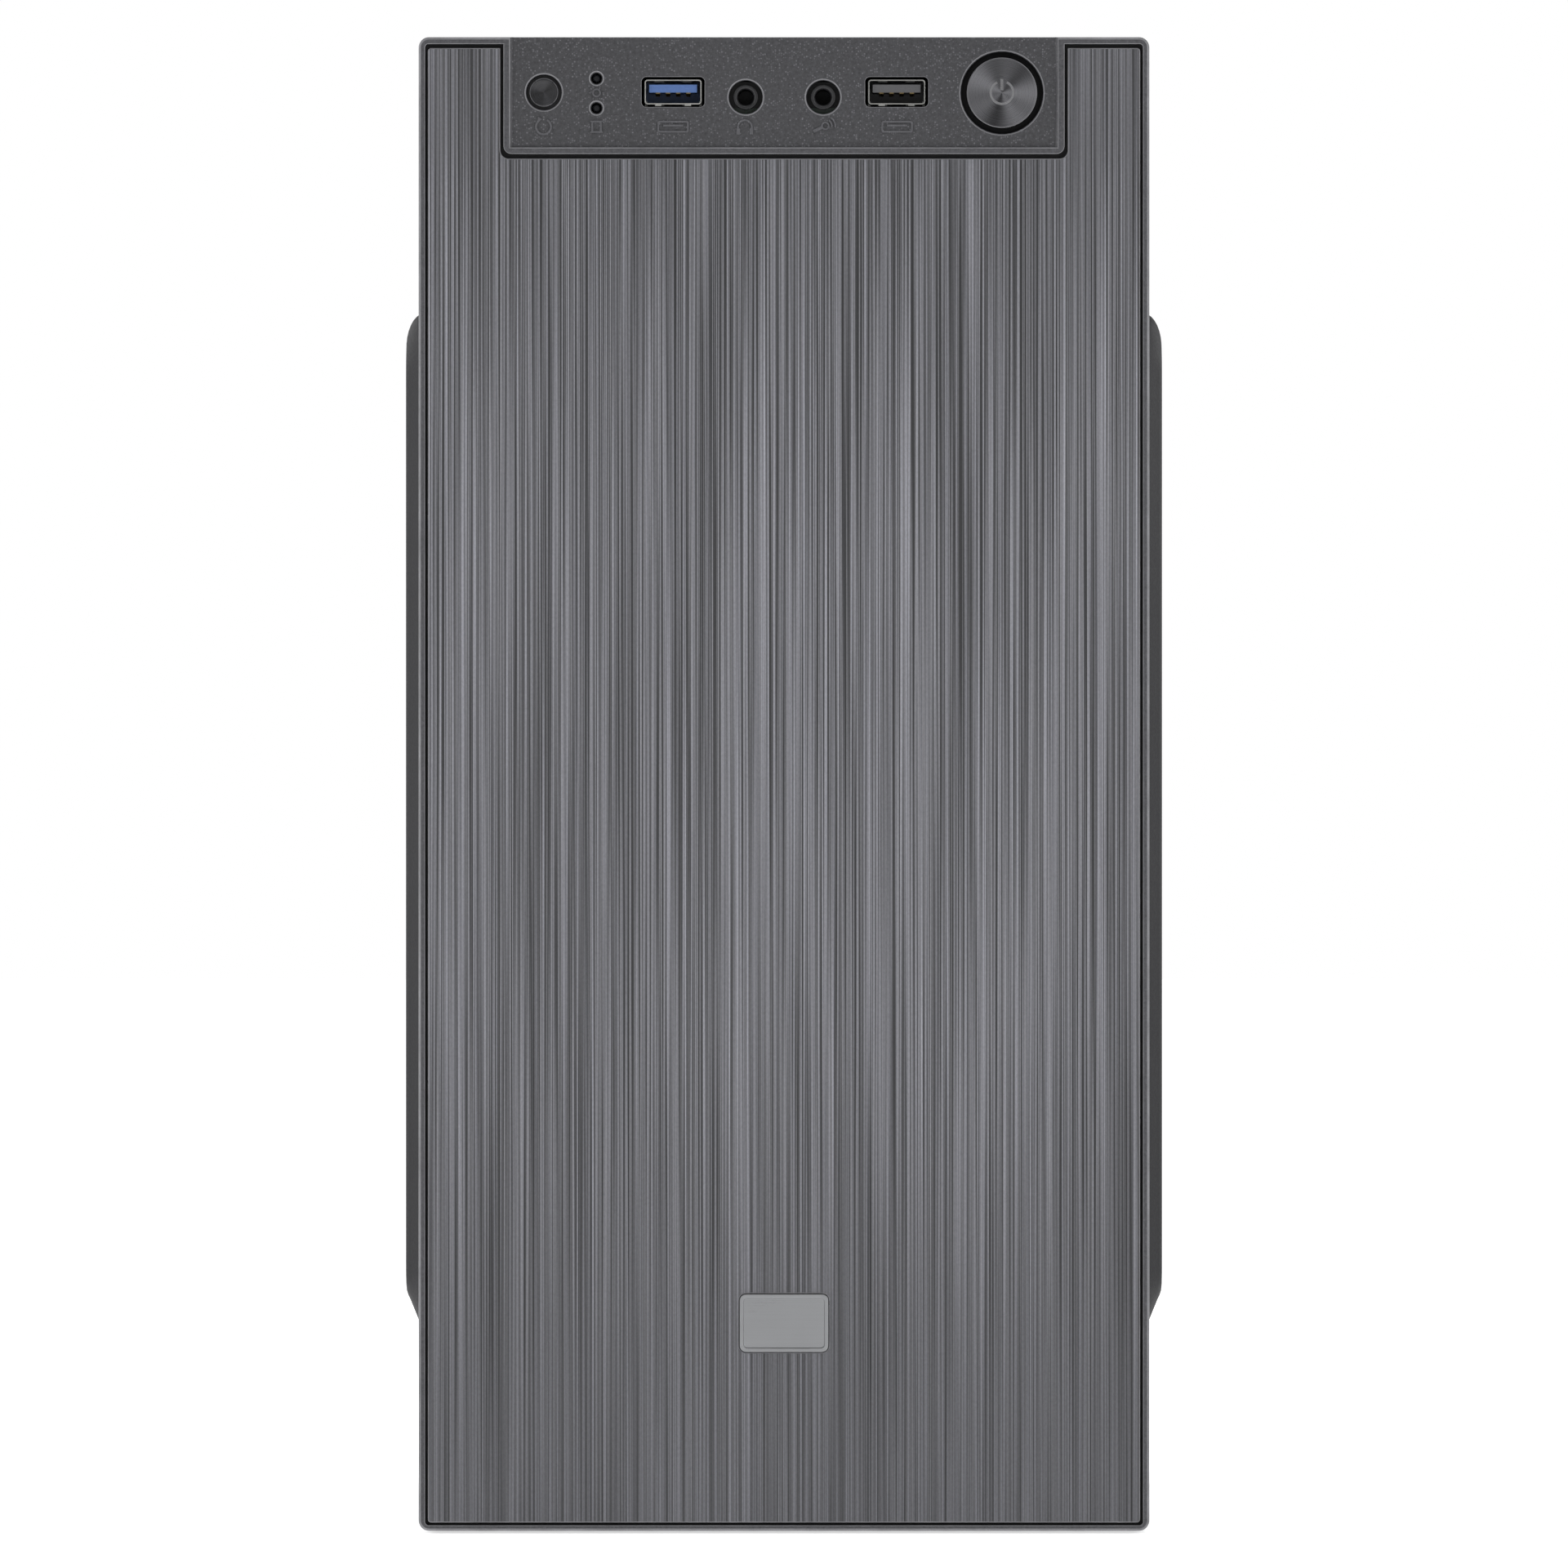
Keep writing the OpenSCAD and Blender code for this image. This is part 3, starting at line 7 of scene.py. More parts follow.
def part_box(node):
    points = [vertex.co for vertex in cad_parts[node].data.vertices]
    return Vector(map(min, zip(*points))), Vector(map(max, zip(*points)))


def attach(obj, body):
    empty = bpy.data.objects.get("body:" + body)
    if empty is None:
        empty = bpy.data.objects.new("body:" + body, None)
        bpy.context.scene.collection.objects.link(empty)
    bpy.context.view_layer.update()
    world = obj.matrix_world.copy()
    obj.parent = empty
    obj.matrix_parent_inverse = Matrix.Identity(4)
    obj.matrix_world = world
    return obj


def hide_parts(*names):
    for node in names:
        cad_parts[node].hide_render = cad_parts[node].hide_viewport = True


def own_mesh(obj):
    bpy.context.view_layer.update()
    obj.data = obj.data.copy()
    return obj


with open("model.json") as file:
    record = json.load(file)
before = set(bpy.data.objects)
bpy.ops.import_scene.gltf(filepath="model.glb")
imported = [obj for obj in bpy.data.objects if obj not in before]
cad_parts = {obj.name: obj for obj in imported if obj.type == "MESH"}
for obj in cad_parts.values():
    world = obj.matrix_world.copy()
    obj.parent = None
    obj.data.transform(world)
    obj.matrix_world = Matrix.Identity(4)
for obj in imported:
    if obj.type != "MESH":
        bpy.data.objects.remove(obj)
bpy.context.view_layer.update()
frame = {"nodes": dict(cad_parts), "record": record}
nodes = frame["nodes"]
scene = bpy.context.scene
MM = 0.001


# ---------------------------------------------------------------- node helpers
class Mat:
    """A node material round one Principled shader, in row-frame object coordinates."""

    def __init__(self, name, rough=0.5, metal=0.0, spec=0.5, ior=1.5, coat=0.0, coat_rough=0.1, aniso=0.0):
        self.m = bpy.data.materials.new(name)
        self.m.use_nodes = True
        self.nt = self.m.node_tree
        self.p = self.nt.nodes["Principled BSDF"]
        i = self.p.inputs
        i["Roughness"].default_value = rough
        i["Metallic"].default_value = metal
        i["Specular IOR Level"].default_value = spec
        i["IOR"].default_value = ior
        i["Coat Weight"].default_value = coat
        i["Coat Roughness"].default_value = coat_rough
        i["Anisotropic"].default_value = aniso
        self.tc = self.nt.nodes.new("ShaderNodeTexCoord")
        self.obj = self.tc.outputs["Object"]
        self.gen = self.tc.outputs["Generated"]

    def new(self, kind, **props):
        n = self.nt.nodes.new(kind)
        for k, v in props.items():
            setattr(n, k, v)
        return n

    def put(self, socket, value):
        if isinstance(value, bpy.types.NodeSocket):
            self.nt.links.new(value, socket)
        else:
            socket.default_value = value

    def at(self, scale=(1, 1, 1), rot=(0, 0, 0), loc=(0, 0, 0), src=None):
        n = self.new("ShaderNodeMapping")
        self.put(n.inputs["Vector"], src or self.obj)
        n.inputs["Scale"].default_value = scale
        n.inputs["Rotation"].default_value = rot
        n.inputs["Location"].default_value = loc
        return n.outputs[0]

    def noise(self, vec=None, scale=1.0, detail=2.0, rough=0.5, dist=0.0, dims="3D"):
        n = self.new("ShaderNodeTexNoise", noise_dimensions=dims)
        if dims == "1D":
            self.put(n.inputs["W"], vec)
        else:
            self.put(n.inputs["Vector"], vec or self.obj)
        n.inputs["Scale"].default_value = scale
        n.inputs["Detail"].default_value = detail
        n.inputs["Roughness"].default_value = rough
        n.inputs["Distortion"].default_value = dist
        return n.outputs["Fac"]

    def voronoi(self, vec=None, scale=1.0, feature="F1", out="Distance", rand=1.0, metric="EUCLIDEAN"):
        n = self.new("ShaderNodeTexVoronoi", feature=feature)
        if feature != "DISTANCE_TO_EDGE":
            n.distance = metric
        self.put(n.inputs["Vector"], vec or self.obj)
        n.inputs["Scale"].default_value = scale
        n.inputs["Randomness"].default_value = rand
        return n.outputs[out]

    def math(self, op, a, b=0.0, c=0.0, clamp=False):
        n = self.new("ShaderNodeMath", operation=op, use_clamp=clamp)
        for s, v in zip(n.inputs, (a, b, c)):
            self.put(s, v)
        return n.outputs[0]

    def fit(self, v, a, b, c, d, smooth=False):
        n = self.new("ShaderNodeMapRange", interpolation_type="SMOOTHSTEP" if smooth else "LINEAR")
        for s, x in zip(n.inputs, (v, a, b, c, d)):
            self.put(s, x)
        return n.outputs[0]

    def mix(self, fac, a, b, blend="MIX"):
        n = self.new("ShaderNodeMix", data_type="RGBA", blend_type=blend)
        self.put(n.inputs[0], fac)
        for s, v in ((n.inputs[6], a), (n.inputs[7], b)):
            self.put(s, v if isinstance(v, bpy.types.NodeSocket) else (v[0], v[1], v[2], 1.0))
        return n.outputs[2]

    def tint(self, col, factor):
        """col times factor, a socket"""
        n = self.new("ShaderNodeVectorMath", operation="SCALE")
        self.put(n.inputs[0], col if isinstance(col, bpy.types.NodeSocket) else tuple(col))
        self.put(n.inputs["Scale"], factor)
        return n.outputs[0]

    def xyz(self, src=None):
        n = self.new("ShaderNodeSeparateXYZ")
        self.put(n.inputs[0], src or self.obj)
        return n.outputs

    def bump(self, height, dist, strength=1.0, under=None):
        n = self.new("ShaderNodeBump")
        n.inputs["Strength"].default_value = strength
        n.inputs["Distance"].default_value = dist
        self.put(n.inputs["Height"], height)
        if under is not None:
            self.put(n.inputs["Normal"], under)
        return n.outputs[0]

    def done(self, color=None, rough=None, normal=None, **more):
        i = self.p.inputs
        if color is not None:
            self.put(i["Base Color"], color if isinstance(color, bpy.types.NodeSocket) else (*color, 1.0))
        if rough is not None:
            self.put(i["Roughness"], rough)
        if normal is not None:
            self.put(i["Normal"], normal)
        for k, v in more.items():
            self.put(i[k.replace("_", " ")], v)
        return self.m


def lin(r, g, b):
    """display value 0-255 to linear"""
    f = lambda c: ((c / 255.0 + 0.055) / 1.055) ** 2.4 if c > 10 else c / 255.0 / 12.92
    return (f(r), f(g), f(b))


def mul(c, k):
    return tuple(x * k for x in c)


# ---------------------------------------------------------------- materials
MATS = {}


def moulded(slot, col, rough=0.48, grain=2400, depth=0.02, vary=0.06, spec=0.5, coat=0.0, fleck=0.0):
    """Injection-moulded plastic: spark-eroded grain, faint flow mottling, rubbed-smooth patches."""
    m = Mat(slot + "_finish", rough=rough, spec=spec, coat=coat, coat_rough=0.15)
    flow = m.noise(m.at((30, 30, 18)), 1.0, 4, 0.55)
    fine = m.noise(None, grain, 2, 0.6)
    k = m.math("ADD", m.fit(flow, 0.3, 0.7, 1 - vary, 1 + vary), m.fit(fine, 0.3, 0.7, -vary * 0.7, vary * 0.7))
    c = m.tint(col, k)
    if fleck > 0:
        dots = m.voronoi(None, grain * 0.42)
        c = m.mix(m.fit(dots, 0.10, 0.22, fleck, 0.0), c, mul(col, 2.6))
    r = m.math("ADD", m.fit(flow, 0.3, 0.7, rough - 0.06, rough + 0.05), m.fit(fine, 0.3, 0.7, -0.05, 0.05))
    n = m.bump(fine, depth * MM)
    MATS[slot] = m.done(c, r, n)
    return m


def powder(slot, col, rough=0.55, grain=1300, depth=0.035, vary=0.05, metal=0.0, spec=0.5):
    """Powder coat on sheet steel: orange peel, dark pinholes, a little dust."""
    m = Mat(slot + "_finish", rough=rough, metal=metal, spec=spec)
    peel = m.noise(None, grain, 3, 0.55)
    soft = m.noise(m.at((7, 7, 7)), 1.0, 5, 0.6)
    pits = m.voronoi(None, grain * 0.55)
    k = m.math("ADD", m.fit(soft, 0.3, 0.7, 1 - vary, 1 + vary), m.fit(peel, 0.3, 0.7, -vary, vary))
    c = m.mix(m.fit(pits, 0.05, 0.18, 0.35, 0.0), m.tint(col, k), mul(col, 0.45))
    r = m.math("ADD", m.fit(soft, 0.3, 0.7, rough - 0.07, rough + 0.06), m.fit(peel, 0.3, 0.7, -0.06, 0.06))
    h = m.math("ADD", peel, m.fit(pits, 0.0, 0.2, -0.25, 0.0))
    MATS[slot] = m.done(c, r, m.bump(h, depth * MM))
    return m


def plated(slot, col, rough=0.28, scratch=(900, 900, 40), vary=0.1, depth=0.006, spangle=0.0, metal=1.0):
    """Bare or plated metal: drawn scratches, cloudy tarnish, optional zinc spangle."""
    m = Mat(slot + "_finish", rough=rough, metal=metal)
    drawn = m.noise(m.at(scratch), 1.0, 3, 0.6)
    cloud = m.noise(m.at((45, 45, 45)), 1.0, 4, 0.6)
    k = m.math("ADD", m.fit(cloud, 0.3, 0.7, 1 - vary, 1 + vary * 0.6), m.fit(drawn, 0.3, 0.7, -vary * 0.6, vary * 0.6))
    r = m.math("ADD", m.fit(cloud, 0.3, 0.7, rough - 0.06, rough + 0.08), m.fit(drawn, 0.3, 0.7, -0.05, 0.06))
    if spangle:
        cells = m.xyz(m.voronoi(m.at((1, 1, 1)), 130, "F1", "Color"))[0]
        k = m.math("ADD", k, m.fit(cells, 0, 1, -spangle, spangle))
        r = m.math("ADD", r, m.fit(cells, 0, 1, -0.07, 0.07))
    MATS[slot] = m.done(m.tint(col, k), r, m.bump(drawn, depth * MM))
    return m


# front bezel: satin moulding, the sunk port field spark-eroded with light flecks and tinted darker, partly as painted
# shade, recesses painted black as painted shade, a painted highlight ring at the hole mouths, tops of the raised
# symbols polished smoother and painted lighter as a painted highlight
BEZEL = lin(68, 68, 71)
m = Mat("bezel_plastic_finish", rough=0.5, spec=0.35)
px, py, pz = m.xyz()
flow = m.noise(m.at((25, 25, 14)), 1.0, 4, 0.55)
fine = m.noise(None, 1350, 3, 0.7)
field = m.fit(py, -0.18945, -0.18925, 0.0, 1.0)
specks = m.voronoi(None, 2100)
pick = m.xyz(m.voronoi(None, 2100, "F1", "Color"))[0]
speck = m.math("MULTIPLY", m.fit(specks, 0.25, 0.50, 1.0, 0.0), m.fit(pick, 0.60, 0.95, 0.0, 1.0))
k = m.math("ADD", m.fit(flow, 0.3, 0.7, 0.95, 1.05), m.fit(fine, 0.3, 0.7, -0.32, 0.32))
c = m.tint(BEZEL, k)
# the sunk field is tinted darker: partly its eroded grain, partly painted shade of the recess
c = m.mix(field, c, m.tint(mul(BEZEL, 0.71), k))
c = m.mix(m.math("MULTIPLY", speck, m.fit(field, 0, 1, 0.25, 0.8)), c, mul(BEZEL, 2.3))
# painted shade: everything behind the field face inside the frame is painted near-black, the pocket gap round the plate
# and the hole walls
recess_shade = m.math("MULTIPLY", m.fit(m.math("ABSOLUTE", px), 0.0832, 0.0833, 1.0, 0.0), m.fit(pz, 0.3430, 0.3431, 1.0, 0.0))
recess_shade = m.math("MULTIPLY", recess_shade, m.fit(pz, 0.0012, 0.0013, 0.0, 1.0))
recess_shade = m.math("MULTIPLY", recess_shade, m.fit(py, -0.18864, -0.18858, 0.0, 1.0))
# painted highlight: a light ring just behind the field face, at the mouths of the holes
rim_highlight = m.math("MULTIPLY", m.fit(py, -0.188845, -0.188825, 0.0, 1.0), m.fit(py, -0.18866, -0.18860, 1.0, 0.0))
# raised symbol tops: polished smoother, and painted lighter as a painted highlight
symbol_polish_and_highlight = m.math("MULTIPLY", m.fit(py, -0.18920, -0.18918, 0.0, 1.0), m.fit(py, -0.18908, -0.18906, 1.0, 0.0))
c = m.mix(m.math("MULTIPLY", symbol_polish_and_highlight, 0.5), c, mul(BEZEL, 1.9))
c = m.mix(rim_highlight, c, mul(BEZEL, 2.4))
c = m.mix(recess_shade, c, m.tint(lin(24, 24, 26), k))
rr_ = m.math("ADD", m.fit(flow, 0.3, 0.7, 0.40, 0.48), m.fit(fine, 0.3, 0.7, -0.06, 0.06))
rr_ = m.math("ADD", rr_, m.math("MULTIPLY", field, 0.10))
rr_ = m.math("SUBTRACT", rr_, m.math("MULTIPLY", symbol_polish_and_highlight, 0.12))
MATS["bezel_plastic"] = m.done(c, rr_, m.bump(fine, 0.03 * MM))

# front plate: hairline brushing, long vertical streaks 0.2 to 0.4 mm wide over slower bands
INSERT = lin(97, 97, 100)
m = Mat("brushed_insert_finish", rough=0.42, metal=0.35, spec=0.5)
hair = m.noise(m.at((3600, 300, 7.0)), 1.0, 1.5, 0.6)
hair2 = m.noise(m.at((1900, 300, 4.5), loc=(3.1, 0, 7.7)), 1.0, 2, 0.62)
band = m.noise(m.at((420, 60, 5.0), loc=(0, 0, 2.3)), 1.0, 2.5, 0.6)
broad = m.noise(m.at((26, 20, 5.0), loc=(5.0, 0, 1.0)), 1.0, 2, 0.5)
s = m.math("ADD", m.fit(hair, 0.25, 0.75, -1.1, 1.1), m.fit(hair2, 0.25, 0.75, -1.05, 1.05))
s = m.math("ADD", s, m.fit(band, 0.25, 0.75, -0.24, 0.24))
s = m.math("ADD", s, m.fit(broad, 0.3, 0.7, -0.14, 0.14))
px, py, pz = m.xyz()
# deeper strokes over the upper part, faint ones beside the port strip and near the foot
amp = m.math("MULTIPLY", m.fit(pz, 0.02, 0.12, 0.66, 1.0, smooth=True), m.fit(pz, 0.20, 0.29, 1.0, 1.35, smooth=True))
s = m.math("MULTIPLY", s, m.math("MULTIPLY", amp, m.fit(pz, 0.308, 0.322, 1.0, 0.62, smooth=True)))
# painted light falloff: the plate is painted lighter through the middle and darker towards the top and the foot
painted_falloff = m.math("MULTIPLY", m.fit(pz, 0.02, 0.13, 0.80, 1.08, smooth=True), m.fit(pz, 0.22, 0.325, 1.0, 0.76, smooth=True))
grit = m.fit(m.noise(m.at((2600, 300, 1300)), 1.0, 2, 0.7), 0.3, 0.7, 0.90, 1.10)
k = m.math("MULTIPLY", m.math("MAXIMUM", m.math("ADD", s, 1.0), 0.22), m.math("MULTIPLY", painted_falloff, grit))
c = m.tint(INSERT, k)
c = m.mix(m.fit(hair2, 0.3, 0.7, 0.0, 0.5), c, m.tint((INSERT[0] * 0.97, INSERT[1] * 0.98, INSERT[2] * 1.07), k))
r = m.fit(s, -0.8, 0.8, 0.50, 0.34)
MATS["brushed_insert"] = m.done(c, r, m.bump(s, 0.012 * MM))

# buttons: spun faces, rings round their axis, and soft cones of brightness painted into the colour as a painted sheen
def spun(slot, node, col, metal, two, five, turn, rough, coat=0.0):
    lo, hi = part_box(node)
    bx, bz = (lo[0] + hi[0]) / 2, (lo[2] + hi[2]) / 2
    m = Mat(slot + "_finish", rough=rough, metal=metal, aniso=0.85, coat=coat)
    px, py, pz = m.xyz()
    dx, dz = m.math("SUBTRACT", px, bx), m.math("SUBTRACT", pz, bz)
    rad = m.math("SQRT", m.math("ADD", m.math("MULTIPLY", dx, dx), m.math("MULTIPLY", dz, dz)))
    rings = m.noise(m.math("MULTIPLY", rad, 9000.0), 1.0, 2, 0.6, dims="1D")
    ang = m.math("ARCTAN2", dz, dx)
    # painted sheen: bright and dark cones round the axis stand in for the spun metal's reflections
    painted_cones = m.math("ADD", m.math("MULTIPLY", m.math("COSINE", m.math("ADD", m.math("MULTIPLY", ang, 2.0), turn)), two),
                   m.math("MULTIPLY", m.math("COSINE", m.math("SUBTRACT", m.math("MULTIPLY", ang, 5.0), 0.4)), five))
    k = m.math("ADD", m.math("ADD", 1.0, painted_cones), m.fit(rings, 0.25, 0.75, -0.2, 0.2))
    tg = m.new("ShaderNodeTangent", direction_type="RADIAL", axis="Y")
    return m, py, rad, rings, m.tint(col, k), tg


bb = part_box("power_button")
bx_, bz_ = (bb[0][0] + bb[1][0]) / 2, (bb[0][2] + bb[1][2]) / 2
m, py, rad, rings, c, tg = spun("button_spun", "power_button", lin(97, 97, 100), 0.85, 0.40, 0.27, 0.7, 0.3)
cut = m.math("MULTIPLY", m.fit(rad, 0.0031, 0.0032, 1.0, 0.0), m.fit(py, -0.18975, -0.18970, 0.0, 1.0))
c = m.mix(cut, c, lin(140, 140, 142))
# below the cap face the button is painted near-black: painted shade in the gap round the button
gap_shade = m.math("MULTIPLY", m.fit(py, -0.18945, -0.18935, 0.0, 1.0), m.fit(rad, 0.0034, 0.0035, 0.0, 1.0))
c = m.mix(gap_shade, c, lin(16, 16, 17))
MATS["button_spun"] = m.done(c, m.fit(rings, 0.25, 0.75, 0.24, 0.38), m.bump(rings, 0.008 * MM), Tangent=tg.outputs[0])
m, py, rad, rings, c, tg = spun("button_gloss", "reset_button", lin(44, 44, 46), 0.45, 0.40, 0.18, 2.2, 0.3, coat=0.1)
MATS["button_gloss"] = m.done(c, m.fit(rings, 0.25, 0.75, 0.24, 0.36), m.bump(rings, 0.003 * MM), Tangent=tg.outputs[0])

moulded("black_plastic", lin(26, 26, 28), 0.42, 2600, 0.012, spec=0.4)
moulded("tongue_grey", lin(78, 78, 80), 0.4, 2600, 0.01)
moulded("port_blue", lin(72, 100, 152), 0.38, 2600, 0.01)
moulded("red_plastic", lin(150, 42, 36), 0.4)
moulded("jack_green", lin(90, 150, 108), 0.4)
moulded("latch_white", lin(216, 216, 214), 0.4, vary=0.03)
moulded("header_nylon", lin(222, 218, 204), 0.42, vary=0.04)
moulded("fan_black", lin(34, 34, 36), 0.4, 1800, 0.02, vary=0.08)
moulded("foot_rubber", lin(26, 26, 28), 0.75, 1500, 0.04, vary=0.12)

moulded("smoked_lens", lin(20, 21, 24), 0.3, 3000, 0.002, vary=0.03, spec=0.3)

powder("chassis_steel", lin(41, 41, 43), 0.52, spec=0.3)
powder("panel_steel", lin(38, 38, 40), 0.57, 1500, 0.03, spec=0.13)
powder("psu_steel", lin(48, 48, 50), 0.5, spec=0.35)
powder("screw_black", lin(34, 34, 36), 0.38, 2600, 0.01)

plated("badge_metal", lin(150, 151, 153), 0.36, (40, 600, 2400), 0.04, depth=0.0015)
plated("nickel_shell", lin(158, 158, 155), 0.32, (400, 60, 400), 0.08)
# the gold is darkened and dulled as painted shade, for contacts deep in the ports
plated("contact_gold", lin(132, 116, 82), 0.3, (500, 60, 500), 0.08)
plated("spring_steel", lin(190, 192, 194), 0.25, (600, 600, 600), 0.08)
plated("screw_zinc", lin(172, 174, 176), 0.3, (700, 700, 700), 0.12)
plated("shield_steel", lin(186, 188, 190), 0.34, (900, 40, 60), 0.07, spangle=0.05)
plated("brass_standoff", lin(206, 172, 90), 0.28, (900, 900, 900), 0.1)
plated("heatsink_alu", lin(190, 192, 196), 0.36, (60, 900, 60), 0.06)
plated("chipset_alu", lin(132, 138, 148), 0.38, (60, 900, 60), 0.06)
plated("socket_metal", lin(190, 191, 193), 0.26, (60, 800, 60), 0.06)
plated("guard_chrome", lin(196, 198, 200), 0.14, (400, 400, 400), 0.05)
plated("drive_casting", lin(150, 152, 156), 0.46, (260, 260, 260), 0.12, depth=0.03)

# sleeved capacitor cans
CELL = (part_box("motherboard")[0][1] + 0.084, 0.058)
m = Mat("capacitor_can_finish", rough=0.3, coat=0.6)
px, py, pz = m.xyz()
cap = m.fit(px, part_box("board_capacitors")[0][0] + 0.0002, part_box("board_capacitors")[0][0] + 0.0006, 1.0, 0.0)
mot = m.noise(m.at((90, 90, 90)), 1.0, 3)
kk = m.fit(mot, 0.3, 0.7, 0.9, 1.1)
c = m.mix(cap, m.tint(lin(44, 58, 112), kk), m.tint(lin(186, 188, 190), kk))
# the coin cell: a brushed steel disc in a black holder; the chokes: grey ferrite blocks
dy, dz = m.math("SUBTRACT", py, CELL[0]), m.math("SUBTRACT", pz, CELL[1])
cr = m.math("SQRT", m.math("ADD", m.math("MULTIPLY", dy, dy), m.math("MULTIPLY", dz, dz)))
c = m.mix(m.fit(cr, 0.01085, 0.0110, 1.0, 0.0), c, m.tint(lin(26, 26, 28), kk))
c = m.mix(m.fit(cr, 0.0096, 0.0098, 1.0, 0.0), c, m.tint(lin(182, 183, 184), kk))
c = m.mix(m.fit(pz, 0.2318, 0.2322, 0.0, 1.0), c, m.tint(lin(66, 67, 70), kk))
MATS["capacitor_can"] = m.done(c, m.fit(mot, 0.3, 0.7, 0.26, 0.36), m.bump(m.noise(None, 2600, 2), 0.006 * MM))


def board(slot, col, trace, plane):
    """Solder mask with copper tracks running two ways under it, and pin-size vias."""
    m = Mat(slot + "_finish", rough=0.34, spec=0.5, coat=0.25, coat_rough=0.25)
    px, py, pz = m.xyz()
    uv = m.new("ShaderNodeCombineXYZ")
    a, b = {"yz": (py, pz), "xz": (px, pz), "xy": (px, py)}[plane]
    m.put(uv.inputs[0], a)
    m.put(uv.inputs[1], b)
    uv = uv.outputs[0]

    def tracks(rot, loc):
        n = m.new("ShaderNodeTexBrick", offset=0.37, squash=1.0)
        m.put(n.inputs["Vector"], m.at((1, 1, 1), (0, 0, rot), loc, src=uv))
        n.inputs["Color1"].default_value = (0, 0, 0, 1)
        n.inputs["Color2"].default_value = (0, 0, 0, 1)
        n.inputs["Mortar"].default_value = (1, 1, 1, 1)
        n.inputs["Scale"].default_value = 1.0
        n.inputs["Mortar Size"].default_value = 0.00016
        n.inputs["Mortar Smooth"].default_value = 0.1
        n.inputs["Brick Width"].default_value = 0.019
        n.inputs["Row Height"].default_value = 0.0011
        return n.outputs["Fac"]

    zone = m.xyz(m.voronoi(m.at(src=uv), 55, "F1", "Color", metric="CHEBYCHEV"))
    which = m.fit(zone[0], 0.49, 0.51, 0.0, 1.0)
    t = m.math("ADD", m.math("MULTIPLY", tracks(0, (0, 0, 0)), which),
               m.math("MULTIPLY", tracks(math.pi / 2, (0.003, 0.001, 0)), m.math("SUBTRACT", 1.0, which)))
    t = m.math("MULTIPLY", t, m.fit(zone[1], 0.25, 0.3, 0.0, 1.0), clamp=True)
    via = m.fit(m.voronoi(m.at(src=uv), 330, "F1"), 0.10, 0.14, 1.0, 0.0)
    via = m.math("MULTIPLY", via, m.fit(zone[2], 0.4, 0.45, 0.0, 1.0))
    mot = m.noise(None, 60, 3)
    c = m.mix(t, m.tint(col, m.fit(mot, 0.3, 0.7, 0.9, 1.1)), m.tint(trace, m.fit(mot, 0.3, 0.7, 0.9, 1.1)))
    c = m.mix(via, c, lin(176, 168, 130))
    MATS[slot] = m.done(c, m.fit(mot, 0.3, 0.7, 0.3, 0.4), m.bump(m.math("ADD", t, via), 0.03 * MM))


board("circuit_green", lin(20, 62, 40), lin(34, 88, 56), "xz")
board("circuit_black", lin(22, 27, 30), lin(40, 46, 50), "yz")
board("memory_green", lin(22, 76, 46), lin(38, 104, 66), "xz")
board("psu_circuit", lin(116, 104, 52), lin(140, 122, 64), "yz")


def sleeve(slot, col, rough):
    m = Mat(slot + "_finish", rough=rough, coat=0.2, coat_rough=0.3)
    n1 = m.noise(m.at((300, 300, 300)), 1.0, 3)
    n2 = m.noise(None, 2200, 2)
    MATS[slot] = m.done(m.tint(col, m.fit(n1, 0.3, 0.7, 0.85, 1.15)), m.fit(n1, 0.3, 0.7, rough - 0.08, rough + 0.08), m.bump(n2, 0.01 * MM))


sleeve("cable_black", lin(28, 28, 30), 0.42)
sleeve("cable_red", lin(150, 34, 30), 0.4)

slots_seen = {}
for o in nodes.values():
    for s in o.material_slots:
        slot = s.material.name.split(".")[0]
        slots_seen.setdefault(slot, []).append(o.name)
        if o.name == "reset_button":
            slot = "button_gloss"
            slots_seen.setdefault(slot, []).append(o.name)
            slots_seen["bezel_plastic"] = [n for n in slots_seen.get("bezel_plastic", []) if n != "reset_button"]
        s.material = MATS["tongue_grey"] if o.name == "usb_tongue_black" else MATS[slot]


# ---------------------------------------------------------------- edge work on the CAD shells
BODY = {n: b for b, ns in frame["record"]["behaviour"]["bodies"].items() for n in ns}
SLOT = {}
for o in nodes.values():
    SLOT[o.name] = [k for k in slots_seen if o.name in slots_seen[k]][0]


def flat_at(v, y, tol=0.00002):
    return abs(v.co.y - y) < tol


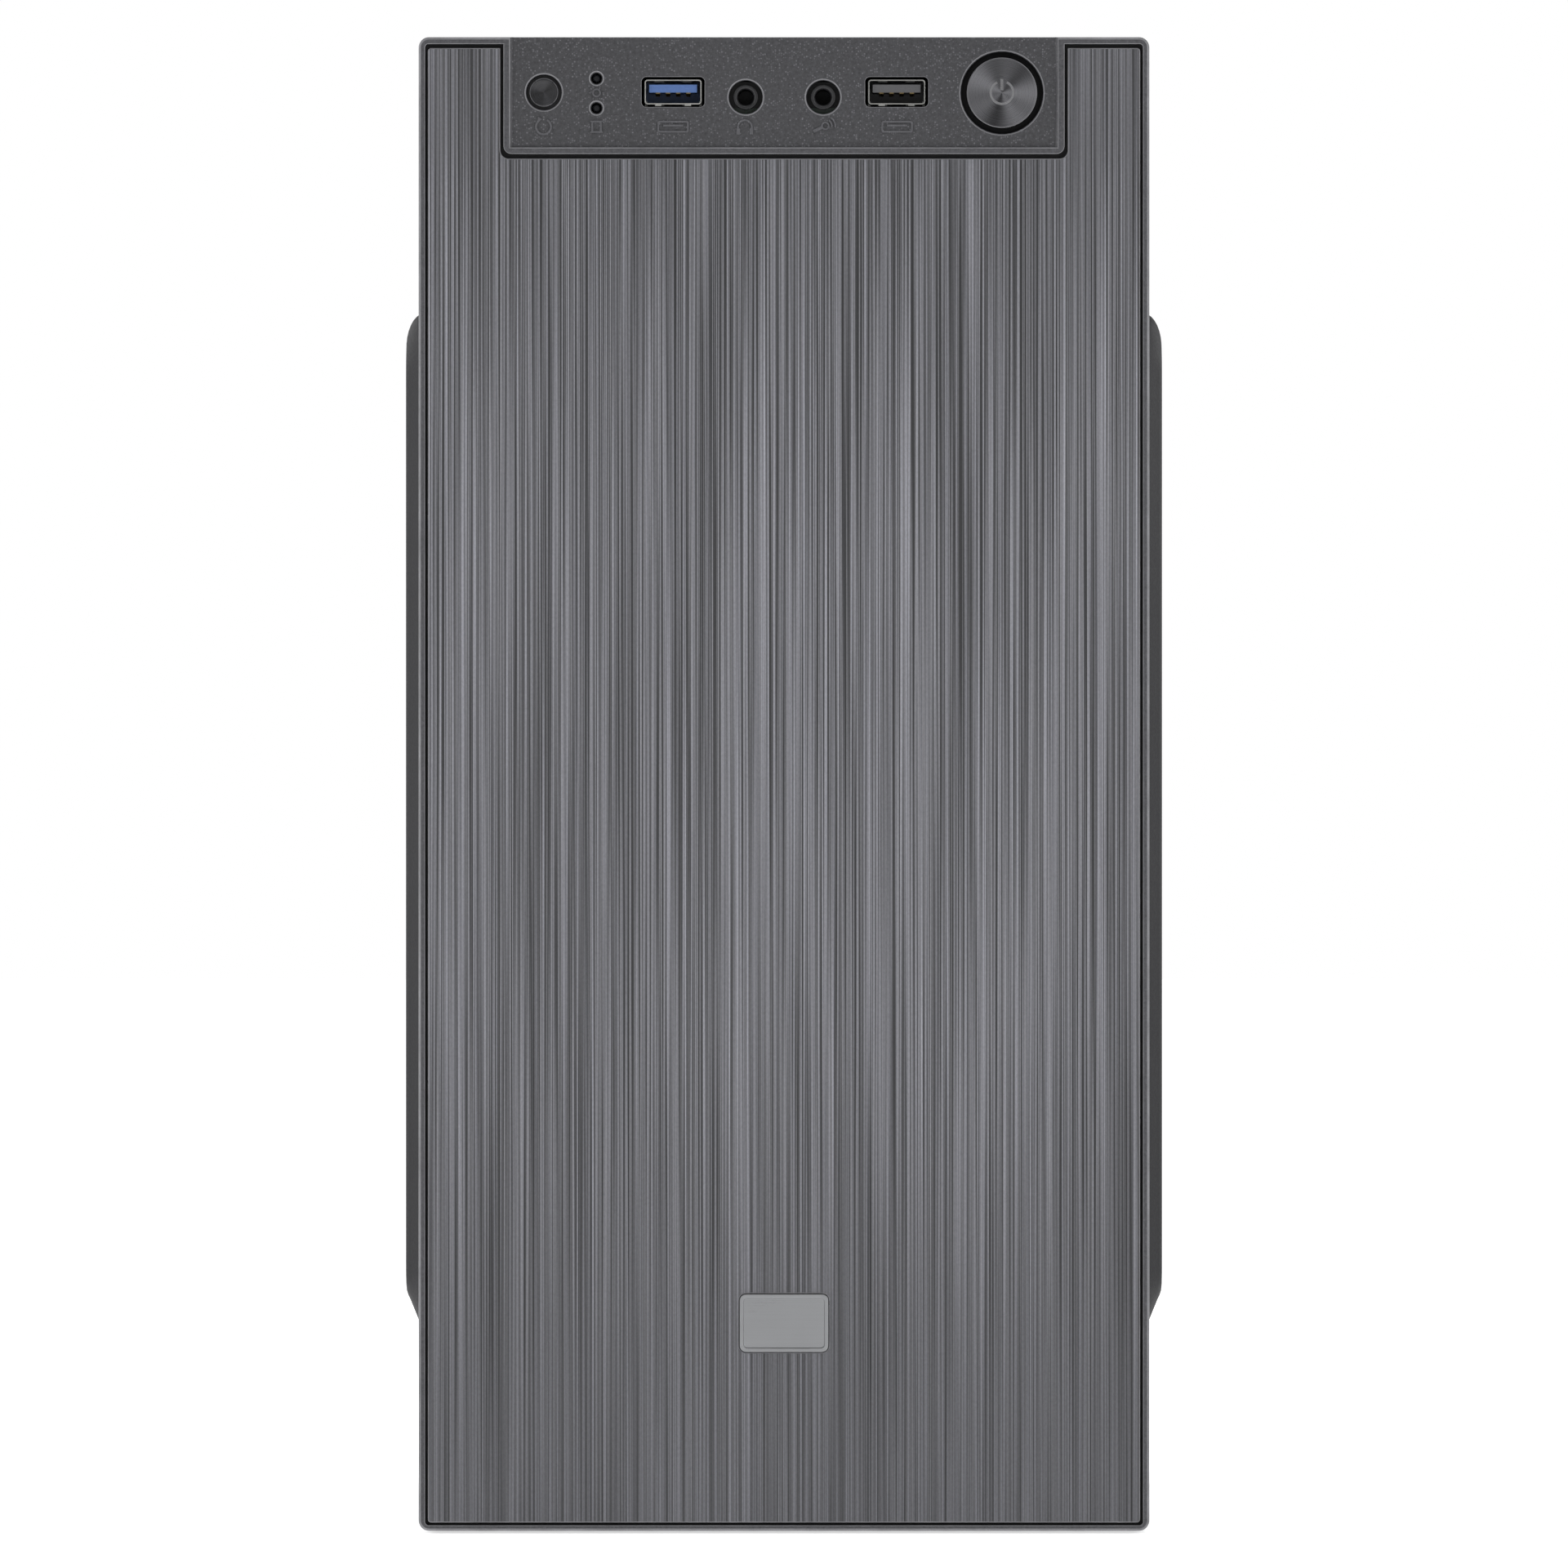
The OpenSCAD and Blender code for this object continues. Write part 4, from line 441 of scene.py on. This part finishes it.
def refine(name, passes, sharp=42, least=24, mat=None, edge=None):
    """A finished shell for a CAD node: its faces merged, chosen edges rounded, then shaded by face area."""
    bm = bmesh.new()
    bm.from_mesh(nodes[name].data)
    bmesh.ops.remove_doubles(bm, verts=bm.verts[:], dist=2e-6)
    bmesh.ops.dissolve_limit(bm, angle_limit=math.radians(0.25), use_dissolve_boundaries=False, verts=bm.verts[:], edges=bm.edges[:])
    for f in bm.faces:
        f.material_index = 0
    for width, segs, pick in passes:
        es = [e for e in bm.edges if e.is_manifold and e.calc_face_angle(0.0) > math.radians(least) and pick(e)]
        if es:
            made = bmesh.ops.bevel(bm, geom=es, offset=width * MM, offset_type="OFFSET", segments=segs, profile=0.5, affect="EDGES",
                            clamp_overlap=False, loop_slide=True, miter_outer="SHARP", miter_inner="SHARP")
            if edge:
                for f in made["faces"]:
                    f.material_index = 1
    for f in bm.faces:
        f.smooth = True
    for e in bm.edges:
        e.smooth = not (e.is_manifold and e.calc_face_angle(0.0) > math.radians(sharp))
    me = bpy.data.meshes.new(name + "_shell")
    bm.to_mesh(me)
    bm.free()
    for at in ("custom_normal",):
        if at in me.attributes:
            me.attributes.remove(me.attributes[at])
    ob = bpy.data.objects.new(name + "_shell", me)
    scene.collection.objects.link(ob)
    me.materials.append(mat or MATS[SLOT[name]])
    if edge:
        me.materials.append(edge)
    w = ob.modifiers.new("by_area", "WEIGHTED_NORMAL")
    w.keep_sharp = True
    w.weight = 100
    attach(ob, BODY[name])
    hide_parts(name)
    return ob


RIM, INS, FIELD = -0.1896, -0.1894, -0.18885


def both(y):
    return lambda e: flat_at(e.verts[0], y) and flat_at(e.verts[1], y)


def outer(e):
    if not both(RIM)(e):
        return False
    def out(v):
        x, z = abs(v.co.x) * 1000, v.co.z * 1000
        return x > 83.9 or z > 343.9 or z < 0.7 or (x > 81.5 and (z > 341.5 or z < 3.1) and math.hypot(x - 81.6, z - (341.6 if z > 170 else 3.0)) > 2.3)
    return out(e.verts[0]) and out(e.verts[1])


def edge_highlight(name, col, rough, metal=0.0):
    """Bevel strips painted lighter than the face beside them as a painted highlight, and smoother, in uneven patches.
    """
    m = Mat(name, rough=rough, metal=metal, spec=0.5)
    edge_patch = m.noise(m.at((160, 160, 160)), 1.0, 3, 0.6)
    fine = m.noise(None, 2400, 2, 0.6)
    k = m.math("ADD", m.fit(edge_patch, 0.3, 0.7, 0.8, 1.2), m.fit(fine, 0.3, 0.7, -0.08, 0.08))
    return m.done(m.tint(col, k), m.fit(edge_patch, 0.3, 0.7, rough + 0.06, rough - 0.05), m.bump(fine, 0.006 * MM))


# the bevel strips of the front parts take these lighter materials: painted highlights along the edges
edge_bezel = edge_highlight("bezel_edge_finish", lin(112, 112, 115), 0.34)
edge_insert = edge_highlight("insert_edge_finish", lin(116, 116, 119), 0.32, 0.35)
edge_button = edge_highlight("button_edge_finish", lin(104, 104, 107), 0.36, 0.3)
edge_reset = edge_highlight("reset_edge_finish", lin(78, 78, 81), 0.36)
refine("front_bezel", [(0.55, 3, outer), (0.16, 2, lambda e: both(RIM)(e)), (0.12, 2, lambda e: both(FIELD)(e) and e.is_convex)], edge=edge_bezel)
refine("front_insert", [(0.24, 2, both(INS))], edge=edge_insert)
refine("badge_plate", [(0.16, 2, lambda e: e.verts[0].co.y < -0.1897 and e.verts[1].co.y < -0.1897)])
refine("power_button", [(0.22, 2, lambda e: both(-0.18985)(e) and (e.verts[0].co - Vector((bx_, -0.18985, bz_))).length > 0.0075),
                        (0.06, 1, lambda e: both(-0.18985)(e) and (e.verts[0].co - Vector((bx_, -0.18985, bz_))).length < 0.004)], edge=edge_button)
refine("reset_button", [(0.16, 2, lambda e: e.verts[0].co.y < -0.1885 and e.verts[1].co.y < -0.1885)], mat=MATS["button_gloss"], sharp=30, edge=edge_reset)
refine("usb_port_shells", [(0.07, 2, both(-0.1891))])
refine("audio_jacks", [(0.14, 2, lambda e: both(-0.189)(e))])
for lead in ("power_cables", "signal_cables"):
    ob = refine(lead, [], sharp=62)
    crease = ob.data.attributes.new("crease_edge", "FLOAT", "EDGE")
    for e in ob.data.edges:
        crease.data[e.index].value = 1.0 if e.use_edge_sharp else 0.0
    ob.modifiers.new("round", "SUBSURF").render_levels = 1
    ob.modifiers["round"].levels = 1
    ob.modifiers.move(1, 0)


# ---------------------------------------------------------------- side panels, pressed sheet with round-cornered bulges
def sheet_fill(bm, loops):
    """Fills a flat region between an outer loop and the loops inside it; loops are lists of verts."""
    es = []
    for lp in loops:
        for i in range(len(lp)):
            v, w = lp[i], lp[(i + 1) % len(lp)]
            es.append(bm.edges.get((v, w)) or bm.edges.new((v, w)))
    bmesh.ops.triangle_fill(bm, use_beauty=True, use_dissolve=False, edges=es)


def round_loop(y0, y1, z0, z1, r, n):
    pts = []
    for cy, cz, a0 in ((y1 - r, z1 - r, 0), (y0 + r, z1 - r, 90), (y0 + r, z0 + r, 180), (y1 - r, z0 + r, 270)):
        for i in range(n + 1):
            a = math.radians(a0 + 90 * i / n)
            pts.append((cy + r * math.cos(a), cz + r * math.sin(a), math.cos(a), math.sin(a)))
    return pts


def bulged_panel(name, side, screws):
    lo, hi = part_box(name)
    slo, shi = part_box(screws)
    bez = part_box("front_bezel")
    t = 0.8
    hw, out = 83.7, max(abs(lo[0]), abs(hi[0])) * 1000
    ya, yb, za, zb = lo[1] * 1000, hi[1] * 1000, lo[2] * 1000, hi[2] * 1000
    rear = yb - 1.1
    y0, y1, z0, z1 = bez[1][1] * 1000 + 14, rear - 26, 44.0, 282.0
    B = out - hw

    def top(d):
        u = min(d / 8.0, 1.0)
        return B * math.sqrt(max(0.0, 1 - (1 - u) ** 2))

    def low(d):
        return (B - 0.9) * d / 8.4 if d < 8.4 else B - 0.9 * (max(0.0, 11.5 - d) / 3.1) ** 2

    bm = bmesh.new()
    V = lambda y, z, x: bm.verts.new((side * x * MM, y * MM, z * MM))
    outer_lp = [V(yb, zb, hw), V(ya, zb, hw), V(ya, za, hw), V(yb, za, hw)]
    rings = []
    for d in (0.0, 0.35, 0.9, 1.7, 2.8, 4.2, 5.6, 7.0, 8.2, 9.2, 10.3, 11.5):
        pts = round_loop(y0 + d, y1 - d, z0 + d, z1 - d, 15.0 - d, 10)
        ring = []
        for y, z, ny, nz in pts:
            wt, wb, ws = max(nz, 0) ** 2, max(-nz, 0) ** 2, ny * ny
            h = wt * top(d) + wb * low(d) + ws * low(min(d * 1.21, 11.5))
            ring.append(V(y, z, hw + h))
        rings.append(ring)
    for a, b in zip(rings, rings[1:]):
        for i in range(len(a)):
            j = (i + 1) % len(a)
            bm.faces.new((a[i], a[j], b[j], b[i]))
    gy0, gy1 = rear - 16, rear - 8
    grip = [[V(y, z, hw - h) for y, z, _, _ in round_loop(gy0 + d, gy1 - d, 150 + d, 200 - d, 3.9 - d, 8)] for d, h in ((0.0, 0.0), (0.15, 0.12), (0.45, 0.3), (0.7, 0.35))]
    for a, b in zip(grip, grip[1:]):
        for i in range(len(a)):
            j = (i + 1) % len(a)
            bm.faces.new((a[i], a[j], b[j], b[i]))
    bm.faces.new(grip[-1])
    sheet_fill(bm, [outer_lp, rings[0], grip[0]])
    holes = []
    if name.startswith("left"):
        cy, cz = rear - 86, 184.0
        for i in range(-5, 6):
            for j in range(-5, 6):
                if abs(i + j) <= 5:
                    a, b = cy + (i + j / 2) * 7.4, cz + j * 6.41
                    holes.append([V(a + 2.1 * math.cos(2 * math.pi * k / 20), b + 2.1 * math.sin(2 * math.pi * k / 20), out) for k in range(20)])
    sheet_fill(bm, [rings[-1]] + holes)
    bmesh.ops.recalc_face_normals(bm, faces=bm.faces[:])
    up = sum((f.normal.x * f.calc_area() for f in bm.faces))
    if up * side < 0:
        bmesh.ops.reverse_faces(bm, faces=bm.faces[:])
    tmp = bpy.data.meshes.new("tmp")
    bm.to_mesh(tmp)
    bm.free()
    ob = bpy.data.objects.new(name + "_pressed", tmp)
    scene.collection.objects.link(ob)
    sol = ob.modifiers.new("sheet", "SOLIDIFY")
    sol.thickness, sol.offset = t * MM, -1.0
    me = bpy.data.meshes.new_from_object(ob.evaluated_get(bpy.context.evaluated_depsgraph_get()))
    ob.modifiers.clear()
    bm = bmesh.new()
    bm.from_mesh(me)

    def block(xa, xb, p, q, u, v, holes_at=()):
        """sheet strip between x xa..xb, y p..q, z u..v; drilled along y at holes_at"""
        if holes_at:
            def face(y):
                rect = [bm.verts.new((side * x * MM, y * MM, z * MM)) for x, z in ((xa, u), (xb, u), (xb, v), (xa, v))]
                circ = [[bm.verts.new((side * (hx + hr * math.cos(2 * math.pi * k / 24)) * MM, y * MM, (hz + hr * math.sin(2 * math.pi * k / 24)) * MM)) for k in range(24)] for hx, hz, hr in holes_at]
                sheet_fill(bm, [rect] + circ)
                return [rect] + circ
            for la, lb in zip(face(p), face(q)):
                for i in range(len(la)):
                    j = (i + 1) % len(la)
                    bm.faces.new((la[i], la[j], lb[j], lb[i]))
        else:
            vs = [bm.verts.new((side * x * MM, y * MM, z * MM)) for x in (xa, xb) for y in (p, q) for z in (u, v)]
            for q4 in ((0, 1, 3, 2), (4, 6, 7, 5), (0, 4, 5, 1), (2, 3, 7, 6), (0, 2, 6, 4), (1, 5, 7, 3)):
                bm.faces.new([vs[k] for k in q4])

    h0, h1 = ya + 1.1, rear - 1.2
    block(77.2, hw - t + 0.05, h0, h1, zb - t, zb)
    block(77.2, 77.2 + t, h0, h1, zb - 3.7, zb - t + 0.02)
    block(77.2, hw - t + 0.05, h0, h1, za, za + t)
    block(77.2, 77.2 + t, h0, h1, za + t - 0.02, za + 3.7)
    block(74.0, hw - 0.02, yb - t, yb, za + 4, zb - 4, [(78.8, 52.0, 1.9), (78.8, 298.0, 1.9)])
    bmesh.ops.recalc_face_normals(bm, faces=bm.faces[:])
    for f in bm.faces:
        f.smooth = True
    for e in bm.edges:
        e.smooth = not (e.is_manifold and e.calc_face_angle(0.0) > math.radians(38))
    me2 = bpy.data.meshes.new(name + "_pressed")
    bm.to_mesh(me2)
    bm.free()
    ob.data = me2
    me2.materials.append(MATS["panel_steel"])
    b = ob.modifiers.new("ease", "BEVEL")
    b.width, b.segments, b.limit_method, b.angle_limit, b.use_clamp_overlap = 0.12 * MM, 1, "ANGLE", math.radians(60), True
    w = ob.modifiers.new("by_area", "WEIGHTED_NORMAL")
    w.keep_sharp, w.weight = True, 60
    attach(ob, BODY[name])
    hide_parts(name)


bulged_panel("right_side_panel", 1, "right_panel_screws")
bulged_panel("left_side_panel", -1, "left_panel_screws")


# ---------------------------------------------------------------- button springs, drawn as real wire
def spring(node, x, z, y0, y1, r, wire, turns):
    cu = bpy.data.meshes.new(node + "_wire")
    ob = bpy.data.objects.new(node + "_wire", cu)
    scene.collection.objects.link(ob)
    bm = bmesh.new()
    sides, per = 10, 30
    steps = int(turns * per)
    lo, hi = y0 + wire, y1 - wire
    rings = []
    for i in range(steps + 1):
        t = i / steps
        # closed end coils: the pitch is small over the first and last turn
        u = t * turns
        e = 0.9
        if u < e:
            yy = 2.05 * wire * u * 0.55
        elif u > turns - e:
            yy = (hi - lo) - 2.05 * wire * (turns - u) * 0.55
        else:
            a0, a1 = 2.05 * wire * e * 0.55, (hi - lo) - 2.05 * wire * e * 0.55
            yy = a0 + (a1 - a0) * (u - e) / (turns - 2 * e)
        a = u * 2 * math.pi
        c = Vector((x + r * math.cos(a), lo + yy, z + r * math.sin(a)))
        rad = Vector((math.cos(a), 0, math.sin(a)))
        up = Vector((0, 1, 0))
        rings.append([bm.verts.new(c + wire * (rad * math.cos(2 * math.pi * k / sides) + up * math.sin(2 * math.pi * k / sides))) for k in range(sides)])
    for i in range(steps):
        for k in range(sides):
            j = (k + 1) % sides
            bm.faces.new((rings[i][k], rings[i + 1][k], rings[i + 1][j], rings[i][j]))
    bm.faces.new(rings[0])
    bm.faces.new(list(reversed(rings[-1])))
    bmesh.ops.recalc_face_normals(bm, faces=bm.faces)
    for f in bm.faces:
        f.smooth = len(f.verts) == 4
    bm.to_mesh(cu)
    bm.free()
    cu.materials.append(MATS["spring_steel"])
    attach(ob, "tower")
    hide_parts(node)
    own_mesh(ob)


for node, joint, r, wire, turns, travel in (("power_spring", "power_button_press", 3.5, 0.3, 6.5, 1.5), ("reset_spring", "reset_button_press", 2.7, 0.26, 7.5, 1.2)):
    lo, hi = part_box(node)
    cx, cz = (lo[0] + hi[0]) / 2, (lo[2] + hi[2]) / 2
    spring(node, cx, cz, lo[1], hi[1], (hi[0] - lo[0]) / 2 - wire * MM, wire * MM, turns)


# ---------------------------------------------------------------- studio
def plane(name, size, z=0.0):
    me = bpy.data.meshes.new(name)
    n = 48
    vs = [(size * math.cos(2 * math.pi * i / n), size * math.sin(2 * math.pi * i / n), z) for i in range(n)]
    me.from_pydata(vs, [], [list(range(n))])
    ob = bpy.data.objects.new(name, me)
    scene.collection.objects.link(ob)
    return ob


floor = plane("studio_floor", 14.0)
m = Mat("studio_floor_finish", rough=0.7, spec=0.2)
fl = m.noise(m.at((3, 3, 3)), 1.0, 3)
floor.data.materials.append(m.done(m.tint((0.93, 0.93, 0.93), m.fit(fl, 0.3, 0.7, 0.99, 1.01))))
m.p.inputs["Emission Color"].default_value = (1, 1, 1, 1)
m.p.inputs["Emission Strength"].default_value = 0.62

world = bpy.data.worlds.new("studio")
scene.world = world
world.use_nodes = True
nt = world.node_tree
nt.nodes.clear()
out = nt.nodes.new("ShaderNodeOutputWorld")
seen, fill = nt.nodes.new("ShaderNodeBackground"), nt.nodes.new("ShaderNodeBackground")
mixs, lp = nt.nodes.new("ShaderNodeMixShader"), nt.nodes.new("ShaderNodeLightPath")
tc, sep = nt.nodes.new("ShaderNodeTexCoord"), nt.nodes.new("ShaderNodeSeparateXYZ")
mr = nt.nodes.new("ShaderNodeMapRange")
nt.links.new(tc.outputs["Generated"], sep.inputs[0])
nt.links.new(sep.outputs[2], mr.inputs[0])
for i, v in enumerate((-0.2, 1.0, 0.16, 0.62), 1):
    mr.inputs[i].default_value = v
nt.links.new(mr.outputs[0], fill.inputs["Strength"])
fill.inputs["Color"].default_value = (1.0, 1.0, 1.0, 1)
seen.inputs["Color"].default_value = (1.0, 1.0, 1.0, 1)
seen.inputs["Strength"].default_value = 1.0
nt.links.new(lp.outputs["Is Camera Ray"], mixs.inputs[0])
nt.links.new(fill.outputs[0], mixs.inputs[1])
nt.links.new(seen.outputs[0], mixs.inputs[2])
nt.links.new(mixs.outputs[0], out.inputs[0])


def softbox(name, at, to, w, h, watts, col=(1, 1, 1)):
    li = bpy.data.lights.new(name, "AREA")
    li.shape, li.size, li.size_y, li.energy, li.color = "RECTANGLE", w, h, watts, col
    ob = bpy.data.objects.new(name, li)
    ob.location = at
    ob.rotation_mode = "QUATERNION"
    ob.rotation_quaternion = (Vector(to) - Vector(at)).to_track_quat("-Z", "Y")
    ob.visible_camera = False
    scene.collection.objects.link(ob)


mid = (0, 0, 0.17)
softbox("key_right", (1.35, -1.45, 0.80), mid, 0.7, 1.1, 10)
softbox("fill_left", (-1.45, -1.25, 0.90), mid, 0.7, 1.0, 7)
softbox("edge_left", (-1.5, -0.35, 0.45), mid, 0.35, 1.2, 3)
softbox("edge_right", (1.5, -0.30, 0.45), mid, 0.35, 1.2, 1.6)
softbox("side_left", (-1.9, 0.35, 0.75), mid, 1.3, 0.9, 9)
softbox("top", (0.1, -0.1, 2.0), mid, 1.4, 1.4, 10)
softbox("back_left", (-1.3, 1.7, 1.0), mid, 0.8, 0.9, 8)
softbox("back_right", (1.5, 1.5, 0.8), mid, 0.6, 1.1, 6)

cam_data = bpy.data.cameras.new("front_camera")
cam = bpy.data.objects.new("front_camera", cam_data)
scene.collection.objects.link(cam)
DIST = 5.0
cam.location = (0.0, -0.19 - DIST, 0.1723)
cam.rotation_euler = (math.radians(90), 0, 0)
cam_data.sensor_width = 36.0
cam_data.lens = 36.0 * DIST / 0.3604
cam_data.clip_start, cam_data.clip_end = 0.1, 60.0
cam_data.dof.use_dof = False
scene.camera = cam

scene.view_settings.view_transform = "Standard"
scene.view_settings.look = "None"
